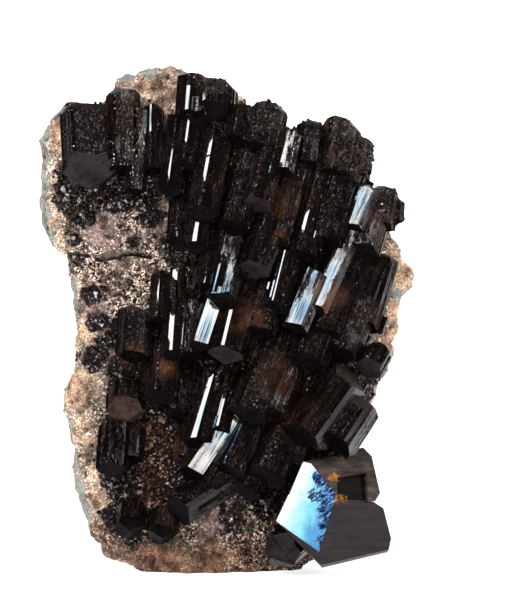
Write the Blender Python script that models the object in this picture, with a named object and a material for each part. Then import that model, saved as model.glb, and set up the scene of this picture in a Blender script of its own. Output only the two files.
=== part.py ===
"""Buergerite tourmaline crystals on their piece of rhyolite.

The tables are in millimetres and the scene is in metres. +X runs across, +Z is up, and the crystals
face -Y. The rock's mid-plane is y = 0, and "forward" is a distance from it towards the viewer.
The origin lies on the flat that the specimen stands on, under the middle of the crystals.
"""

import math
from collections import namedtuple

import bmesh
import bpy
from mathutils import Vector, noise

MM = 0.001
GAP = 0.3  # between pieces that touch
WELD = 1e-7  # points this close, in metres, are one point
PARALLEL = 1e-9
COPLANAR = 1.0  # degrees between faces that count as one face

# The rock
ROCK_CENTRE = (-1.0, 31.0)
ROCK_BACK = 12.5
ROCK_SQUARENESS = 3.6  # 2 is a round pebble, and higher is closer to a slab
ROCK_FACE_SHARE = 3.0  # spreads the mesh towards the front and back faces
ROCK_SUBDIVISIONS = 5
ROCK_KEEP = 0.66
BACK_LUMP = 1.8
BACK_LUMP_SIZE = 14.0
ROCK_BUMP = 1.1
ROCK_BUMP_SIZE = 4.5
RIM_BUMP_SHARE = 0.5  # how much of a bump moves the rock's outline
SPOT_REACH = 4.5
FAR_PULL = 1e-5  # the pull of spots that are out of reach
LEDGE = 0.9  # the rock above the crack on the left stands this much forward of the rock below it
LEDGE_HEIGHT = 41.4
LEDGE_WAVE = 0.35
LEDGE_WAVE_PITCH = 0.9
LEDGE_STEP = 1.2
LEDGE_TOP = 7.0
LEDGE_TOP_FADE = 5.0
LEDGE_END = -9.5
LEDGE_END_FADE = 3.0

# The rock's outline from the front, anticlockwise from the lower left, as (across, up).
ROCK_OUTLINE = [
    (-10.5, -1.6), (-12.8, 0.7), (-15.9, 2.2), (-17.5, 5.5), (-19.2, 11.0), (-20.5, 18.0), (-21.0, 21.5),
    (-19.8, 26.0), (-19.1, 31.0), (-19.9, 36.5), (-20.6, 41.0), (-23.0, 42.6), (-24.1, 45.5), (-23.7, 48.5),
    (-24.2, 51.5), (-23.9, 54.0), (-24.4, 56.3), (-22.8, 58.8), (-20.4, 60.2), (-16.0, 61.0), (-14.3, 63.9),
    (-11.0, 64.6), (-7.0, 65.0), (-3.0, 63.6), (1.0, 62.4), (3.0, 60.6), (8.0, 58.2), (13.0, 57.0),
    (17.0, 54.6), (18.6, 50.5), (20.3, 45.6), (22.5, 42.4), (23.0, 39.5), (24.2, 38.5), (23.8, 36.8),
    (22.6, 35.3), (22.2, 31.6), (21.2, 28.6), (20.0, 25.0), (18.2, 20.0), (16.8, 15.0), (16.0, 8.0),
    (14.0, 3.6), (10.8, 1.0), (8.6, -1.4), (0.0, -2.2), (-6.0, -2.2),
]

# How far forward the rock's front face stands, as (across, up, forward).
ROCK_FRONT = [
    (-23.0, 50.0, 2.5), (-19.0, 57.0, 3.0), (-14.0, 62.0, 3.5), (-9.0, 61.5, 5.0), (-4.0, 62.0, 5.0),
    (5.0, 58.0, 5.5), (13.0, 55.0, 4.0), (18.0, 49.0, 3.0), (22.0, 40.0, 3.0), (20.0, 30.0, 4.0),
    (15.0, 40.0, 5.5), (8.0, 46.0, 7.5), (0.0, 50.0, 7.5), (-7.0, 47.0, 6.5), (-15.0, 46.0, 6.0),
    (-17.0, 38.0, 5.2), (-12.0, 36.0, 5.0), (-18.0, 28.0, 5.2), (-18.5, 20.0, 6.0), (-13.0, 25.0, 4.0),
    (-10.0, 18.0, 2.8), (-12.5, 10.0, 3.6), (-18.0, 12.0, 6.0), (-14.0, 3.0, 7.0), (-5.0, 2.5, 9.5),
    (2.0, 6.0, 8.5), (6.0, 2.0, 7.5), (-3.0, 20.0, 5.5), (0.0, 36.0, 7.5), (8.0, 32.0, 7.5),
    (12.0, 22.0, 6.0), (6.0, 13.0, 5.5), (13.0, 8.0, 3.0), (12.0, 2.5, 3.5), (-6.0, 10.0, 4.5),
]

# The flat breaks of the rock's back and rim, as a point (across, back, up) and the way the break faces.
ROCK_BREAKS = [
    ((0.0, 11.5, 47.0), (0.12, 0.95, 0.22)),
    ((2.0, 12.0, 14.0), (0.18, 0.95, -0.22)),
    ((-8.0, 11.5, 28.0), (-0.30, 0.95, 0.05)),
    ((18.0, 6.0, 34.0), (0.72, 0.68, 0.10)),
    ((-18.0, 7.5, 44.0), (-0.66, 0.74, 0.12)),
    ((-15.0, 8.0, 14.0), (-0.70, 0.68, -0.20)),
    ((4.0, 8.0, 58.0), (0.16, 0.55, 0.82)),
    ((12.0, 8.0, 7.0), (0.62, 0.62, -0.48)),
]

# One prism. tip_* is the middle of its free lower end and top_* that of its upper end, seen from the
# front. proud is how far its axis stands off the rock at the tip, and tilt leans the tip forward.
# turn is the direction that one of its six wide faces looks in, from straight ahead round to the right.
# edge is the width of the narrow faces between them, front_face how much of the tip the face that looks
# forward takes, buried how far the prism goes on past its top under the crystals there, and slope the
# angle of the tip's faces.
Prism = namedtuple("Prism", "tip_x tip_z top_x top_z proud width tilt turn edge front_face buried slope",
                   defaults=(0.5, 2.5, 27.0))

WIDE_FACE_STEP = 60.0
NARROW_FACE_STEP = 120.0
SET_BACK = 1.08
CROWDING = 1.12  # how much wider a crystal is than what shows of it between its neighbours
APEX_OFFSET = 0.3  # of the radius: how far the tip's apex lies past the middle of the lower end
TOP_LEAN_AHEAD = 0.15
TOP_LEAN_RIGHT = 0.1

# The crystals that grew into one another, cluster by cluster, the foremost first.
CLUSTERS = {
    "lower_centre_prisms": [
        Prism(-4.1, 12.8, 1.4, 20.8, 4.8, 3.3, 16.0, -16.0, 0.3, 0.9),
        Prism(-3.7, 16.8, -0.6, 27.8, 4.2, 3.4, 19.0, 14.0, 0.5),
        Prism(-0.8, 18.3, 1.5, 27.5, 3.6, 2.6, 20.0, 16.0, 0.3),
        Prism(-4.8, 14.6, -4.2, 20.0, 3.8, 3.0, 26.0, 4.0, 0.25, 0.9),
        Prism(-6.4, 8.6, 0.6, 12.9, 4.4, 3.8, 18.0, 8.0, 0.3),
        Prism(0.6, 13.4, 4.2, 21.0, 3.4, 3.8, 20.0, 2.0, 0.3),
    ],
    "striated_block": [
        Prism(2.8, 20.6, 7.4, 31.2, 4.8, 4.4, 18.0, 2.0, 0.35),
        Prism(5.9, 20.8, 9.4, 29.8, 4.0, 3.8, 18.0, -4.0, 0.35),
    ],
    "right_edge_crystal": [
        Prism(18.4, 26.6, 20.3, 29.6, 4.2, 2.9, 28.0, 2.0, 0.35, 0.9, 0.0),
    ],
    "lower_right_prisms": [
        Prism(9.8, 17.8, 16.0, 26.2, 4.6, 5.2, 15.0, 60.0, 0.8, 0.5, 0.4),
        Prism(13.8, 17.0, 17.8, 23.0, 3.4, 4.8, 15.0, 60.0, 1.1, 0.5, 0.0),
    ],
    "lower_shadow_prisms": [
        Prism(5.2, 12.4, 9.0, 20.6, 3.6, 4.4, 18.0, 4.0, 0.35),
        Prism(7.6, 13.8, 10.6, 20.0, 2.8, 3.8, 18.0, 4.0, 0.35),
        Prism(3.0, 10.4, 6.0, 16.0, 2.6, 3.2, 22.0, 2.0, 0.3),
    ],
    "middle_right_prisms": [
        Prism(8.9, 32.3, 11.0, 37.2, 4.6, 3.0, 17.0, -18.0, 0.3),
        Prism(11.7, 34.4, 15.4, 42.4, 4.4, 2.5, 17.0, -18.0, 0.3),
        Prism(12.6, 31.2, 16.0, 40.4, 3.2, 3.8, 18.0, 6.0, 0.35),
        Prism(14.6, 28.4, 18.4, 38.4, 2.8, 4.4, 17.0, 0.0, 0.4),
        Prism(17.6, 32.0, 20.4, 41.0, 2.2, 3.6, 16.0, 4.0, 0.4, 0.5, 0.5),
        Prism(10.2, 27.4, 13.4, 35.4, 3.2, 4.4, 20.0, 4.0, 0.35),
    ],
    "centre_prisms": [
        Prism(3.7, 39.6, 6.8, 47.8, 4.6, 3.3, 19.0, 2.0, 0.3, 0.8),
        Prism(-0.5, 35.6, 1.0, 41.8, 4.8, 3.2, 20.0, -16.0, 0.3, 0.8),
        Prism(-3.0, 29.8, -0.8, 36.4, 4.6, 2.8, 19.0, -15.0, 0.25),
        Prism(0.2, 28.5, 2.6, 38.4, 4.4, 4.0, 20.0, 14.0, 0.3, 0.65),
        Prism(4.2, 31.6, 6.6, 40.6, 3.6, 3.6, 20.0, 4.0, 0.3),
        Prism(6.5, 34.6, 9.0, 44.4, 4.0, 3.2, 18.0, 14.0, 0.3),
        Prism(-2.2, 37.4, -1.0, 45.0, 3.8, 2.6, 20.0, 14.0, 0.25),
        Prism(1.6, 38.4, 3.2, 45.0, 3.2, 3.0, 20.0, 2.0, 0.25),
    ],
    "middle_left_prisms": [
        Prism(-6.7, 28.4, -6.0, 39.4, 4.4, 2.7, 21.0, 18.0, 0.4),
        Prism(-4.5, 28.6, -3.4, 42.0, 3.6, 2.9, 20.0, 2.0, 0.3),
        Prism(-8.5, 33.0, -8.1, 39.4, 3.2, 2.3, 20.0, 18.0, 0.25, 0.5, 0.0),
    ],
    "lower_left_prisms": [
        Prism(-8.3, 22.6, -7.8, 29.0, 3.8, 3.8, 22.0, 16.0, 0.3),
        Prism(-6.2, 20.4, -5.6, 27.0, 2.8, 3.2, 22.0, 2.0, 0.3),
    ],
    "short_stub": [
        Prism(-11.9, 28.2, -11.6, 34.6, 2.8, 3.6, 20.0, 2.0, 0.35, 0.5, 0.0),
    ],
    "right_shoulder_crystals": [
        Prism(16.2, 44.8, 18.8, 50.4, 3.8, 2.8, 17.0, -18.0, 0.3, 0.5, 0.0),
        Prism(17.3, 41.6, 18.9, 46.6, 3.2, 4.2, 22.0, -12.0, 0.5),
        Prism(19.6, 45.0, 20.6, 50.2, 2.4, 3.8, 18.0, 4.0, 0.4, 0.5, 0.0),
        Prism(21.7, 45.6, 21.9, 48.8, 1.4, 2.4, 18.0, 2.0, 0.3, 0.5, 0.0),
    ],
    "upper_left_prisms": [
        Prism(-2.7, 46.6, -1.0, 56.2, 4.4, 3.7, 20.0, 14.0, 0.35),
        Prism(-3.6, 42.4, -2.7, 49.0, 3.8, 2.6, 21.0, 17.0, 0.35),
        Prism(-5.8, 42.8, -5.2, 52.6, 3.2, 2.8, 20.0, 17.0, 0.25),
        Prism(-7.0, 49.6, -6.1, 57.0, 3.6, 2.6, 20.0, 17.0, 0.25),
        Prism(-5.0, 53.0, -4.2, 59.0, 3.4, 2.4, 20.0, 17.0, 0.25),
    ],
    "upper_middle_prisms": [
        Prism(1.0, 45.0, 3.6, 55.4, 3.8, 3.7, 20.0, 2.0, 0.35),
        Prism(4.0, 48.0, 6.3, 56.0, 4.2, 3.2, 20.0, 4.0, 0.3, 0.8),
        Prism(6.3, 43.0, 9.0, 53.2, 3.4, 3.6, 20.0, 2.0, 0.4),
        Prism(7.3, 52.2, 8.5, 57.8, 3.8, 2.7, 20.0, -14.0, 0.3, 0.5, 0.0),
    ],
    "inner_right_prisms": [
        Prism(9.8, 41.2, 12.6, 51.8, 3.8, 3.4, 19.0, 14.0, 0.3),
        Prism(12.8, 43.0, 15.4, 51.0, 3.4, 4.0, 18.0, 2.0, 0.35),
    ],
    "upper_edge_prisms": [
        Prism(4.5, 54.8, 5.9, 61.2, 3.0, 4.0, 22.0, 4.0, 0.35, 0.5, 0.0),
        Prism(1.6, 56.0, 2.4, 60.8, 3.2, 3.2, 19.0, 15.0, 0.3, 0.5, 0.0),
    ],
    "upper_right_prisms": [
        Prism(14.1, 51.2, 15.2, 59.0, 3.0, 4.2, 20.0, 2.0, 0.5, 0.5, 0.0),
        Prism(10.7, 53.0, 11.2, 58.8, 3.0, 2.8, 20.0, 2.0, 0.3, 0.5, 0.0),
        Prism(16.7, 51.2, 17.4, 56.6, 1.6, 3.2, 18.0, 4.0, 0.35, 0.5, 0.0),
    ],
    "top_crystal": [
        Prism(-1.9, 57.3, -1.5, 64.2, 3.4, 5.1, 22.0, 16.0, 0.4, 0.9, 0.0, 44.0),
        Prism(-4.2, 59.0, -3.8, 64.8, 3.0, 3.6, 18.0, 14.0, 0.35, 0.9, 0.0),
    ],
    "top_left_crystals": [
        Prism(-17.2, 51.2, -17.8, 61.0, 2.8, 5.6, 14.0, 2.0, 0.5, 0.8, 0.0, 44.0),
        Prism(-13.3, 52.4, -13.2, 63.0, 2.0, 3.4, 13.0, 4.0, 0.35, 0.5, 0.0),
        Prism(-10.9, 52.4, -10.8, 60.6, 1.6, 2.0, 14.0, 0.0, 0.2, 0.5, 0.0),
        Prism(-9.3, 52.4, -9.2, 61.0, 1.8, 2.1, 18.0, 17.0, 0.3, 0.5, 0.0),
        Prism(-15.5, 54.0, -15.3, 59.6, 1.7, 2.4, 15.0, 4.0, 0.25, 0.5, 0.0),
        Prism(-11.6, 49.6, -11.2, 56.0, 1.9, 2.2, 12.0, 2.0, 0.25, 0.5, 0.0),
    ],
    "hollow_block": [
        Prism(-14.6, 13.4, -14.1, 20.2, 2.4, 3.4, 18.0, 2.0, 0.35, 0.8, 0.0),
        Prism(-12.4, 14.6, -12.0, 19.6, 1.8, 2.8, 20.0, 2.0, 0.35, 0.5, 0.0),
    ],
    "hollow_cap": [
        Prism(-12.9, 21.0, -12.8, 24.4, 2.6, 4.0, 40.0, 2.0, 0.6, 0.9, 0.0),
    ],
    "hollow_hexagon": [
        Prism(-12.4, 6.2, -12.2, 8.8, 3.0, 3.2, 50.0, 2.0, 0.35, 0.2, 0.0),
    ],
    "hollow_red_crystal": [
        Prism(-8.1, 5.4, -7.9, 8.4, 2.6, 3.2, 45.0, 4.0, 0.35, 0.3, 0.0),
    ],
    "small_end_crystal": [
        Prism(7.0, 3.1, 9.1, 4.6, 3.6, 4.0, 45.0, 2.0, 0.5, 0.8),
    ],
}

# A flat face of the large crystal: it passes through a place (across, up, forward), and this is how much
# farther forward it comes for each millimetre across and up.
Facet = namedtuple("Facet", "across up forward per_across per_up")

# The large crystal at the lower right is a twin of two halves that share one flat end.
END = Facet(10.0, 9.0, 13.0, 0.147, -0.423)
GROWTH_STEP = 0.2  # the upper half's end lies this much behind the lower one's
UPPER_END = [(10.1, 15.0), (11.1, 14.8), (14.4, 10.9), (8.0, 10.2), (13.6, 9.6)]
LOWER_END = [(6.6, 7.6), (12.1, 3.9), (14.2, 10.5), (8.2, 10.9)]

# Each half's long side face, its far corners as (across, up), and its other corners as (across, up, forward).
UPPER_SIDE = Facet(14.4, 10.9, 12.64, -0.66, -1.1)
UPPER_SIDE_CORNERS = [(18.0, 16.3), (19.1, 15.2), (20.1, 10.8), (19.4, 9.9)]
UPPER_BACK = [
    (14.0, 9.4, 11.8), (11.5, 14.8, 4.0), (17.0, 15.6, -1.0), (18.6, 11.0, -2.0), (12.0, 9.6, -1.0),
]
LOWER_SIDE = Facet(14.2, 10.5, 12.98, -0.583, -0.191)
LOWER_SIDE_CORNERS = [(19.2, 9.8), (20.5, 8.9), (21.5, 5.0), (21.2, 3.6), (12.3, 2.2)]
LOWER_BACK = [
    (12.5, 1.7, 14.3), (21.0, 3.1, 9.0), (9.4, 4.6, 11.0), (18.6, 8.6, -1.0), (19.0, 4.2, -2.0),
    (12.2, 2.6, 0.0), (10.0, 9.6, -1.0),
]

# The sunken patch in the upper half's side face, as (across, up).
RECESS = [(14.5, 13.0), (18.4, 13.3), (18.6, 9.4), (14.5, 9.4)]
RECESS_DEPTH = 0.7
RECESS_CLEARANCE = 2.0  # how far the cut that makes the patch reaches out of the face

# Colour, roughness and metallic value
ROCK_FINISH = ((0.42, 0.30, 0.21), 0.9, 0.0)
CRYSTAL_FINISH = ((0.012, 0.008, 0.007), 0.12, 0.0)


def clear_scene():
    """Removes every object that the scene starts with."""
    for scene_object in list(bpy.data.objects):
        bpy.data.objects.remove(scene_object, do_unlink=True)


def make_material(name, finish):
    """A plain material of one colour, roughness and metallic value."""
    color, roughness, metallic = finish
    material = bpy.data.materials.new(name)
    material.use_nodes = True
    shader = material.node_tree.nodes["Principled BSDF"]
    shader.inputs["Base Color"].default_value = (*color, 1.0)
    shader.inputs["Roughness"].default_value = roughness
    shader.inputs["Metallic"].default_value = metallic
    material.diffuse_color = (*color, 1.0)
    return material


def add_object(name, bm, material=None):
    """An object that holds a bmesh, whose millimetres become metres."""
    bmesh.ops.scale(bm, vec=(MM, MM, MM), verts=bm.verts)
    mesh = bpy.data.meshes.new(name)
    bm.to_mesh(mesh)
    bm.free()
    scene_object = bpy.data.objects.new(name, mesh)
    bpy.context.scene.collection.objects.link(scene_object)
    if material:
        mesh.materials.append(material)
    return scene_object


def ramp(value, low, high):
    """0 up to low, 1 from high on, and even between them."""
    return min(max((value - low) / (high - low), 0.0), 1.0)


def outline_reach(angle):
    """Distance from the rock's centre to its outline in one direction."""
    heading = (math.cos(angle), math.sin(angle))
    farthest = 0.0
    for start, end in zip(ROCK_OUTLINE, ROCK_OUTLINE[1:] + ROCK_OUTLINE[:1]):
        from_centre = (start[0] - ROCK_CENTRE[0], start[1] - ROCK_CENTRE[1])
        along = (end[0] - start[0], end[1] - start[1])
        cross = heading[0] * along[1] - heading[1] * along[0]
        if abs(cross) < PARALLEL:
            continue
        reach = (from_centre[0] * along[1] - from_centre[1] * along[0]) / cross
        share = (from_centre[0] * heading[1] - from_centre[1] * heading[0]) / cross
        if reach > 0.0 and 0.0 <= share <= 1.0:
            farthest = max(farthest, reach)
    return farthest


def ledge_share(across, up):
    """1 on the ledge above the crack, falling to 0 below it, higher up and towards the crystals."""
    crack = LEDGE_HEIGHT + LEDGE_WAVE * math.sin(across * LEDGE_WAVE_PITCH)
    above = ramp(up - crack, -LEDGE_STEP / 2.0, LEDGE_STEP / 2.0)
    below_top = ramp(crack + LEDGE_TOP - up, 0.0, LEDGE_TOP_FADE)
    before_end = ramp(LEDGE_END - across, -LEDGE_END_FADE / 2.0, LEDGE_END_FADE / 2.0)
    return above * below_top * before_end


def rock_forward(across, up):
    """How far forward the rock's front face stands at a place, blended from ROCK_FRONT."""
    total = 0.0
    weighed = 0.0
    for spot_x, spot_z, forward in ROCK_FRONT:
        distance = math.hypot(across - spot_x, up - spot_z)
        weight = math.exp(-((distance / SPOT_REACH) ** 2) / 2.0) + FAR_PULL / (1.0 + distance)
        total += weight
        weighed += weight * forward
    return weighed / total + LEDGE * ledge_share(across, up)


def rock_point(direction):
    """The point of the rock's surface in one direction from its centre."""
    angle = math.atan2(direction.z, direction.x)
    flat = math.hypot(direction.x, direction.z)
    lift = abs(direction.y) * ROCK_FACE_SHARE
    swell = (flat ** ROCK_SQUARENESS + lift ** ROCK_SQUARENESS) ** (1.0 / ROCK_SQUARENESS)
    reach = outline_reach(angle) * flat / swell
    depth = lift / swell
    across = ROCK_CENTRE[0] + reach * math.cos(angle)
    up = ROCK_CENTRE[1] + reach * math.sin(angle)
    if direction.y < 0.0:
        place = Vector((across, -rock_forward(across, up) * depth, up))
    else:
        lump = noise.noise(Vector((across, 0.0, up)) / BACK_LUMP_SIZE) * BACK_LUMP
        place = Vector((across, (ROCK_BACK + lump) * depth, up))
    for point, facing in ROCK_BREAKS:
        facing = Vector(facing).normalized()
        beyond = (place - Vector(point)).dot(facing)
        if beyond > 0.0:
            place -= facing * beyond
    bump = noise.fractal(place / ROCK_BUMP_SIZE, 1.0, 2.0, 3)
    outward = Vector((direction.x * RIM_BUMP_SHARE, direction.y, direction.z * RIM_BUMP_SHARE))
    return place + outward.normalized() * bump * ROCK_BUMP


def build_rock(material):
    """The rock: a sphere pressed into its outline and depth, cut flat underneath."""
    bm = bmesh.new()
    bmesh.ops.create_icosphere(bm, subdivisions=ROCK_SUBDIVISIONS, radius=1.0)
    for vert in bm.verts:
        vert.co = rock_point(vert.co.normalized())
    cut_off(bm, Vector((0.0, 0.0, 0.0)), Vector((0.0, 0.0, -1.0)))
    rock = add_object("matrix", bm, material)
    decimate = rock.modifiers.new("fewer faces", "DECIMATE")
    decimate.ratio = ROCK_KEEP
    apply_modifiers(rock)
    return rock


def cut_off(bm, point, outward):
    """Cuts away what lies beyond a plane and closes the cut with one flat face."""
    geometry = bm.verts[:] + bm.edges[:] + bm.faces[:]
    cut = bmesh.ops.bisect_plane(bm, geom=geometry, plane_co=point, plane_no=outward, clear_outer=True)
    rim = [item for item in cut["geom_cut"] if isinstance(item, bmesh.types.BMEdge)]
    if rim:
        bmesh.ops.holes_fill(bm, edges=rim, sides=0)


def section_corners(radius, turn, edge):
    """Corners of a prism's section, as (right, ahead): wide faces with three corners taken off."""
    truncation = radius / math.cos(math.radians(WIDE_FACE_STEP / 2.0))
    truncation -= edge / (2.0 * math.tan(math.radians(WIDE_FACE_STEP)))
    faces = []
    for side in range(6):
        distance = radius if side % 2 == 0 else radius * SET_BACK
        faces.append((turn + side * WIDE_FACE_STEP, distance))
    for side in range(3):
        faces.append((turn - WIDE_FACE_STEP / 2.0 + side * NARROW_FACE_STEP, truncation))
    faces.sort()
    corners = []
    for (angle, distance), (next_angle, next_distance) in zip(faces, faces[1:] + faces[:1]):
        a = math.radians(angle)
        b = math.radians(next_angle)
        determinant = math.sin(b - a)
        right = (next_distance * math.cos(a) - distance * math.cos(b)) / determinant
        ahead = (distance * math.sin(b) - next_distance * math.sin(a)) / determinant
        corners.append((right, ahead))
    return corners


def prism_axes(prism):
    """The tip's and the top's place, and unit vectors along the prism, ahead of it and to its right."""
    tip_forward = rock_forward(prism.tip_x, prism.tip_z) + prism.proud
    span = math.hypot(prism.top_x - prism.tip_x, prism.top_z - prism.tip_z)
    drop = span * math.tan(math.radians(prism.tilt))
    tip = Vector((prism.tip_x, -tip_forward, prism.tip_z))
    top = Vector((prism.top_x, -tip_forward + drop, prism.top_z))
    along = (top - tip).normalized()
    top += along * prism.buried
    ahead = Vector((0.0, -1.0, 0.0))
    ahead = (ahead - along * ahead.dot(along)).normalized()
    right = along.cross(ahead)
    if right.x < 0.0:
        right = -right
    return tip, top, along, ahead, right


def build_prism(prism):
    """One crystal: a nine-sided prism whose lower end has three sloping faces."""
    tip, top, along, ahead, right = prism_axes(prism)
    radius = prism.width * CROWDING / 2.0
    bm = bmesh.new()
    rings = []
    for end in (tip - along * radius, top + along * radius):
        ring = []
        for offset_right, offset_ahead in section_corners(radius, prism.turn, prism.edge):
            ring.append(bm.verts.new(end + right * offset_right + ahead * offset_ahead))
        rings.append(ring)
    for side in range(len(rings[0])):
        following = (side + 1) % len(rings[0])
        bm.faces.new((rings[0][side], rings[0][following], rings[1][following], rings[1][side]))
    bm.faces.new(reversed(rings[0]))
    bm.faces.new(rings[1])
    bmesh.ops.recalc_face_normals(bm, faces=bm.faces)
    slope = math.radians(prism.slope)
    apex = tip - ahead * radius * (prism.front_face - APEX_OFFSET) - along * radius * APEX_OFFSET
    for turn in (0.0, NARROW_FACE_STEP, -NARROW_FACE_STEP):
        sideways = ahead * math.cos(math.radians(turn)) + right * math.sin(math.radians(turn))
        cut_off(bm, apex, -along * math.cos(slope) + sideways * math.sin(slope))
    cut_off(bm, top, along + ahead * TOP_LEAN_AHEAD + right * TOP_LEAN_RIGHT)
    return bm


def place_on(facet, across, up):
    """The place on a flat face at a distance across and up."""
    forward = facet.forward + facet.per_across * (across - facet.across) + facet.per_up * (up - facet.up)
    return Vector((across, -forward, up))


def convex_solid(points):
    """The convex solid whose corners are the outermost of some points."""
    bm = bmesh.new()
    for point in points:
        bm.verts.new(point)
    hull = bmesh.ops.convex_hull(bm, input=bm.verts)
    bmesh.ops.delete(bm, geom=hull["geom_interior"], context="VERTS")
    bmesh.ops.dissolve_limit(bm, angle_limit=math.radians(COPLANAR), verts=bm.verts, edges=bm.edges)
    bmesh.ops.recalc_face_normals(bm, faces=bm.faces)
    return bm


def build_lower_half():
    """The lower half of the large crystal."""
    points = [place_on(END, *corner) for corner in LOWER_END]
    points += [place_on(LOWER_SIDE, *corner) for corner in LOWER_SIDE_CORNERS]
    points += [Vector((across, -forward, up)) for across, up, forward in LOWER_BACK]
    return convex_solid(points)


def build_upper_half():
    """The upper half of the large crystal."""
    points = [place_on(END, *corner) + Vector((0.0, GROWTH_STEP, 0.0)) for corner in UPPER_END]
    points += [place_on(UPPER_SIDE, *corner) for corner in UPPER_SIDE_CORNERS]
    points += [Vector((across, -forward, up)) for across, up, forward in UPPER_BACK]
    return convex_solid(points)


def build_recess():
    """What is missing from the upper half's side face."""
    outward = Vector((-UPPER_SIDE.per_across, -1.0, -UPPER_SIDE.per_up)).normalized()
    rim = [place_on(UPPER_SIDE, *corner) for corner in RECESS]
    floor = [place - outward * RECESS_DEPTH for place in rim]
    return convex_solid(floor + [place + outward * RECESS_CLEARANCE for place in rim])


def grow(bm, amount):
    """Moves every face of a convex crystal outwards."""
    bm.normal_update()
    moves = [vert.normal * vert.calc_shell_factor() * amount for vert in bm.verts]
    for vert, move in zip(bm.verts, moves):
        vert.co += move
    return bm


def apply_modifiers(scene_object):
    """Replaces an object's mesh by its evaluated one."""
    depsgraph = bpy.context.evaluated_depsgraph_get()
    mesh = bpy.data.meshes.new_from_object(scene_object.evaluated_get(depsgraph))
    scene_object.modifiers.clear()
    scene_object.data = mesh


def combine(target, others, operation):
    """Joins others to the target, or cuts them out of it, and removes them."""
    for other in others:
        boolean = target.modifiers.new(operation.lower(), "BOOLEAN")
        boolean.operation = operation
        boolean.solver = "EXACT"
        boolean.object = other
        apply_modifiers(target)
    for other in others:
        bpy.data.objects.remove(other, do_unlink=True)


def keep_largest_body(scene_object):
    """Drops the offcuts that a cut has parted from the main body."""
    bm = bmesh.new()
    bm.from_mesh(scene_object.data)
    bmesh.ops.remove_doubles(bm, verts=bm.verts, dist=WELD)
    unseen = set(bm.verts)
    bodies = []
    while unseen:
        body = set()
        front = [unseen.pop()]
        while front:
            vert = front.pop()
            body.add(vert)
            for edge in vert.link_edges:
                neighbour = edge.other_vert(vert)
                if neighbour in unseen:
                    unseen.remove(neighbour)
                    front.append(neighbour)
        bodies.append(body)
    bodies.sort(key=len, reverse=True)
    for body in bodies[1:]:
        bmesh.ops.delete(bm, geom=list(body), context="VERTS")
    bm.to_mesh(scene_object.data)
    bm.free()


def boxes_meet(first, second):
    """Whether two objects' bounding boxes overlap."""
    for axis in range(3):
        first_values = [corner[axis] for corner in first.bound_box]
        second_values = [corner[axis] for corner in second.bound_box]
        if max(first_values) < min(second_values) or max(second_values) < min(first_values):
            return False
    return True


def build_cluster(name, shapes, material):
    """One solid of the crystals in a cluster."""
    solids = [add_object(name, shape(), material) for shape in shapes]
    cluster = solids[0]
    combine(cluster, solids[1:], "UNION")
    cluster.name = name
    return cluster


def rooms_for(shapes):
    """A slightly larger solid for each crystal of a cluster, to cut its room out of what lies behind."""
    return [add_object("room", grow(shape(), GAP)) for shape in shapes]


def cut_by_copy(target, cutter):
    """Cuts a cutter's shape out of the target and leaves the cutter as it is."""
    copy = cutter.copy()
    copy.data = cutter.data.copy()
    bpy.context.scene.collection.objects.link(copy)
    combine(target, [copy], "DIFFERENCE")


def main():
    """Builds the crystals from the foremost back, each with room for those before it, and then the rock."""
    clear_scene()
    rock_material = make_material("rhyolite", ROCK_FINISH)
    crystal_material = make_material("tourmaline", CRYSTAL_FINISH)
    rock = build_rock(rock_material)

    halves = [build_lower_half, build_upper_half]
    twin = build_cluster("diamond_end_crystal", halves, crystal_material)
    combine(twin, [add_object("recess", build_recess())], "DIFFERENCE")
    keep_largest_body(twin)
    rooms = rooms_for(halves)

    for name, prisms in CLUSTERS.items():
        shapes = [lambda prism=prism: build_prism(prism) for prism in prisms]
        cluster = build_cluster(name, shapes, crystal_material)
        for room in rooms:
            if boxes_meet(cluster, room):
                cut_by_copy(cluster, room)
        keep_largest_body(cluster)
        rooms += rooms_for(shapes)
    combine(rock, rooms, "DIFFERENCE")
    keep_largest_body(rock)


main()
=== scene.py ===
"""The looks of the buergerite tourmaline specimen: striated near-black prisms packed over pale rhyolite.

The script is read from the stone up: the rock, the grains on it, the crystals cluster by cluster, and last
the floor, the lights and the camera. The tables are in millimetres, and every mesh is in metres. Places are
given as across, to the right, and up, as seen from the front. A spot is (across, up, reach), with a strength
after them where it isn't 1.
"""

import math
import random
from collections import namedtuple

import bmesh
import bpy
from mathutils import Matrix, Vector, noise


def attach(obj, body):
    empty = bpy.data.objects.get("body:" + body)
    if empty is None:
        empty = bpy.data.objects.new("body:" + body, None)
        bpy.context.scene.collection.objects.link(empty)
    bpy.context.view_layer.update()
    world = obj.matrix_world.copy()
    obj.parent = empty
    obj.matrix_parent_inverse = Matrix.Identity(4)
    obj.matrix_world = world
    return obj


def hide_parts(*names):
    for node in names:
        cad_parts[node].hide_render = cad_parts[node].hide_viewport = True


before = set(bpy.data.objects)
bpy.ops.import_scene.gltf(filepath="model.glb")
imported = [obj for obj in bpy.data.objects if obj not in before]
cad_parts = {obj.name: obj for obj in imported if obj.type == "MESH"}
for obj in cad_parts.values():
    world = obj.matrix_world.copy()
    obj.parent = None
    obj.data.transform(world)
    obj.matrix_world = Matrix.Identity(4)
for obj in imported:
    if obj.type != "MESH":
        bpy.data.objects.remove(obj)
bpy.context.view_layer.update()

MM = 0.001

# The matrix: a palm-sized broken piece of pale tan rhyolite that the crystals grew on. It is one rough
# stone, granular and pitted, cut flat underneath. The mesh is a sphere pressed into the stone's outline,
# with its front and its broken back given in tables, and lumps, grains and pits added from noise.

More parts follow.
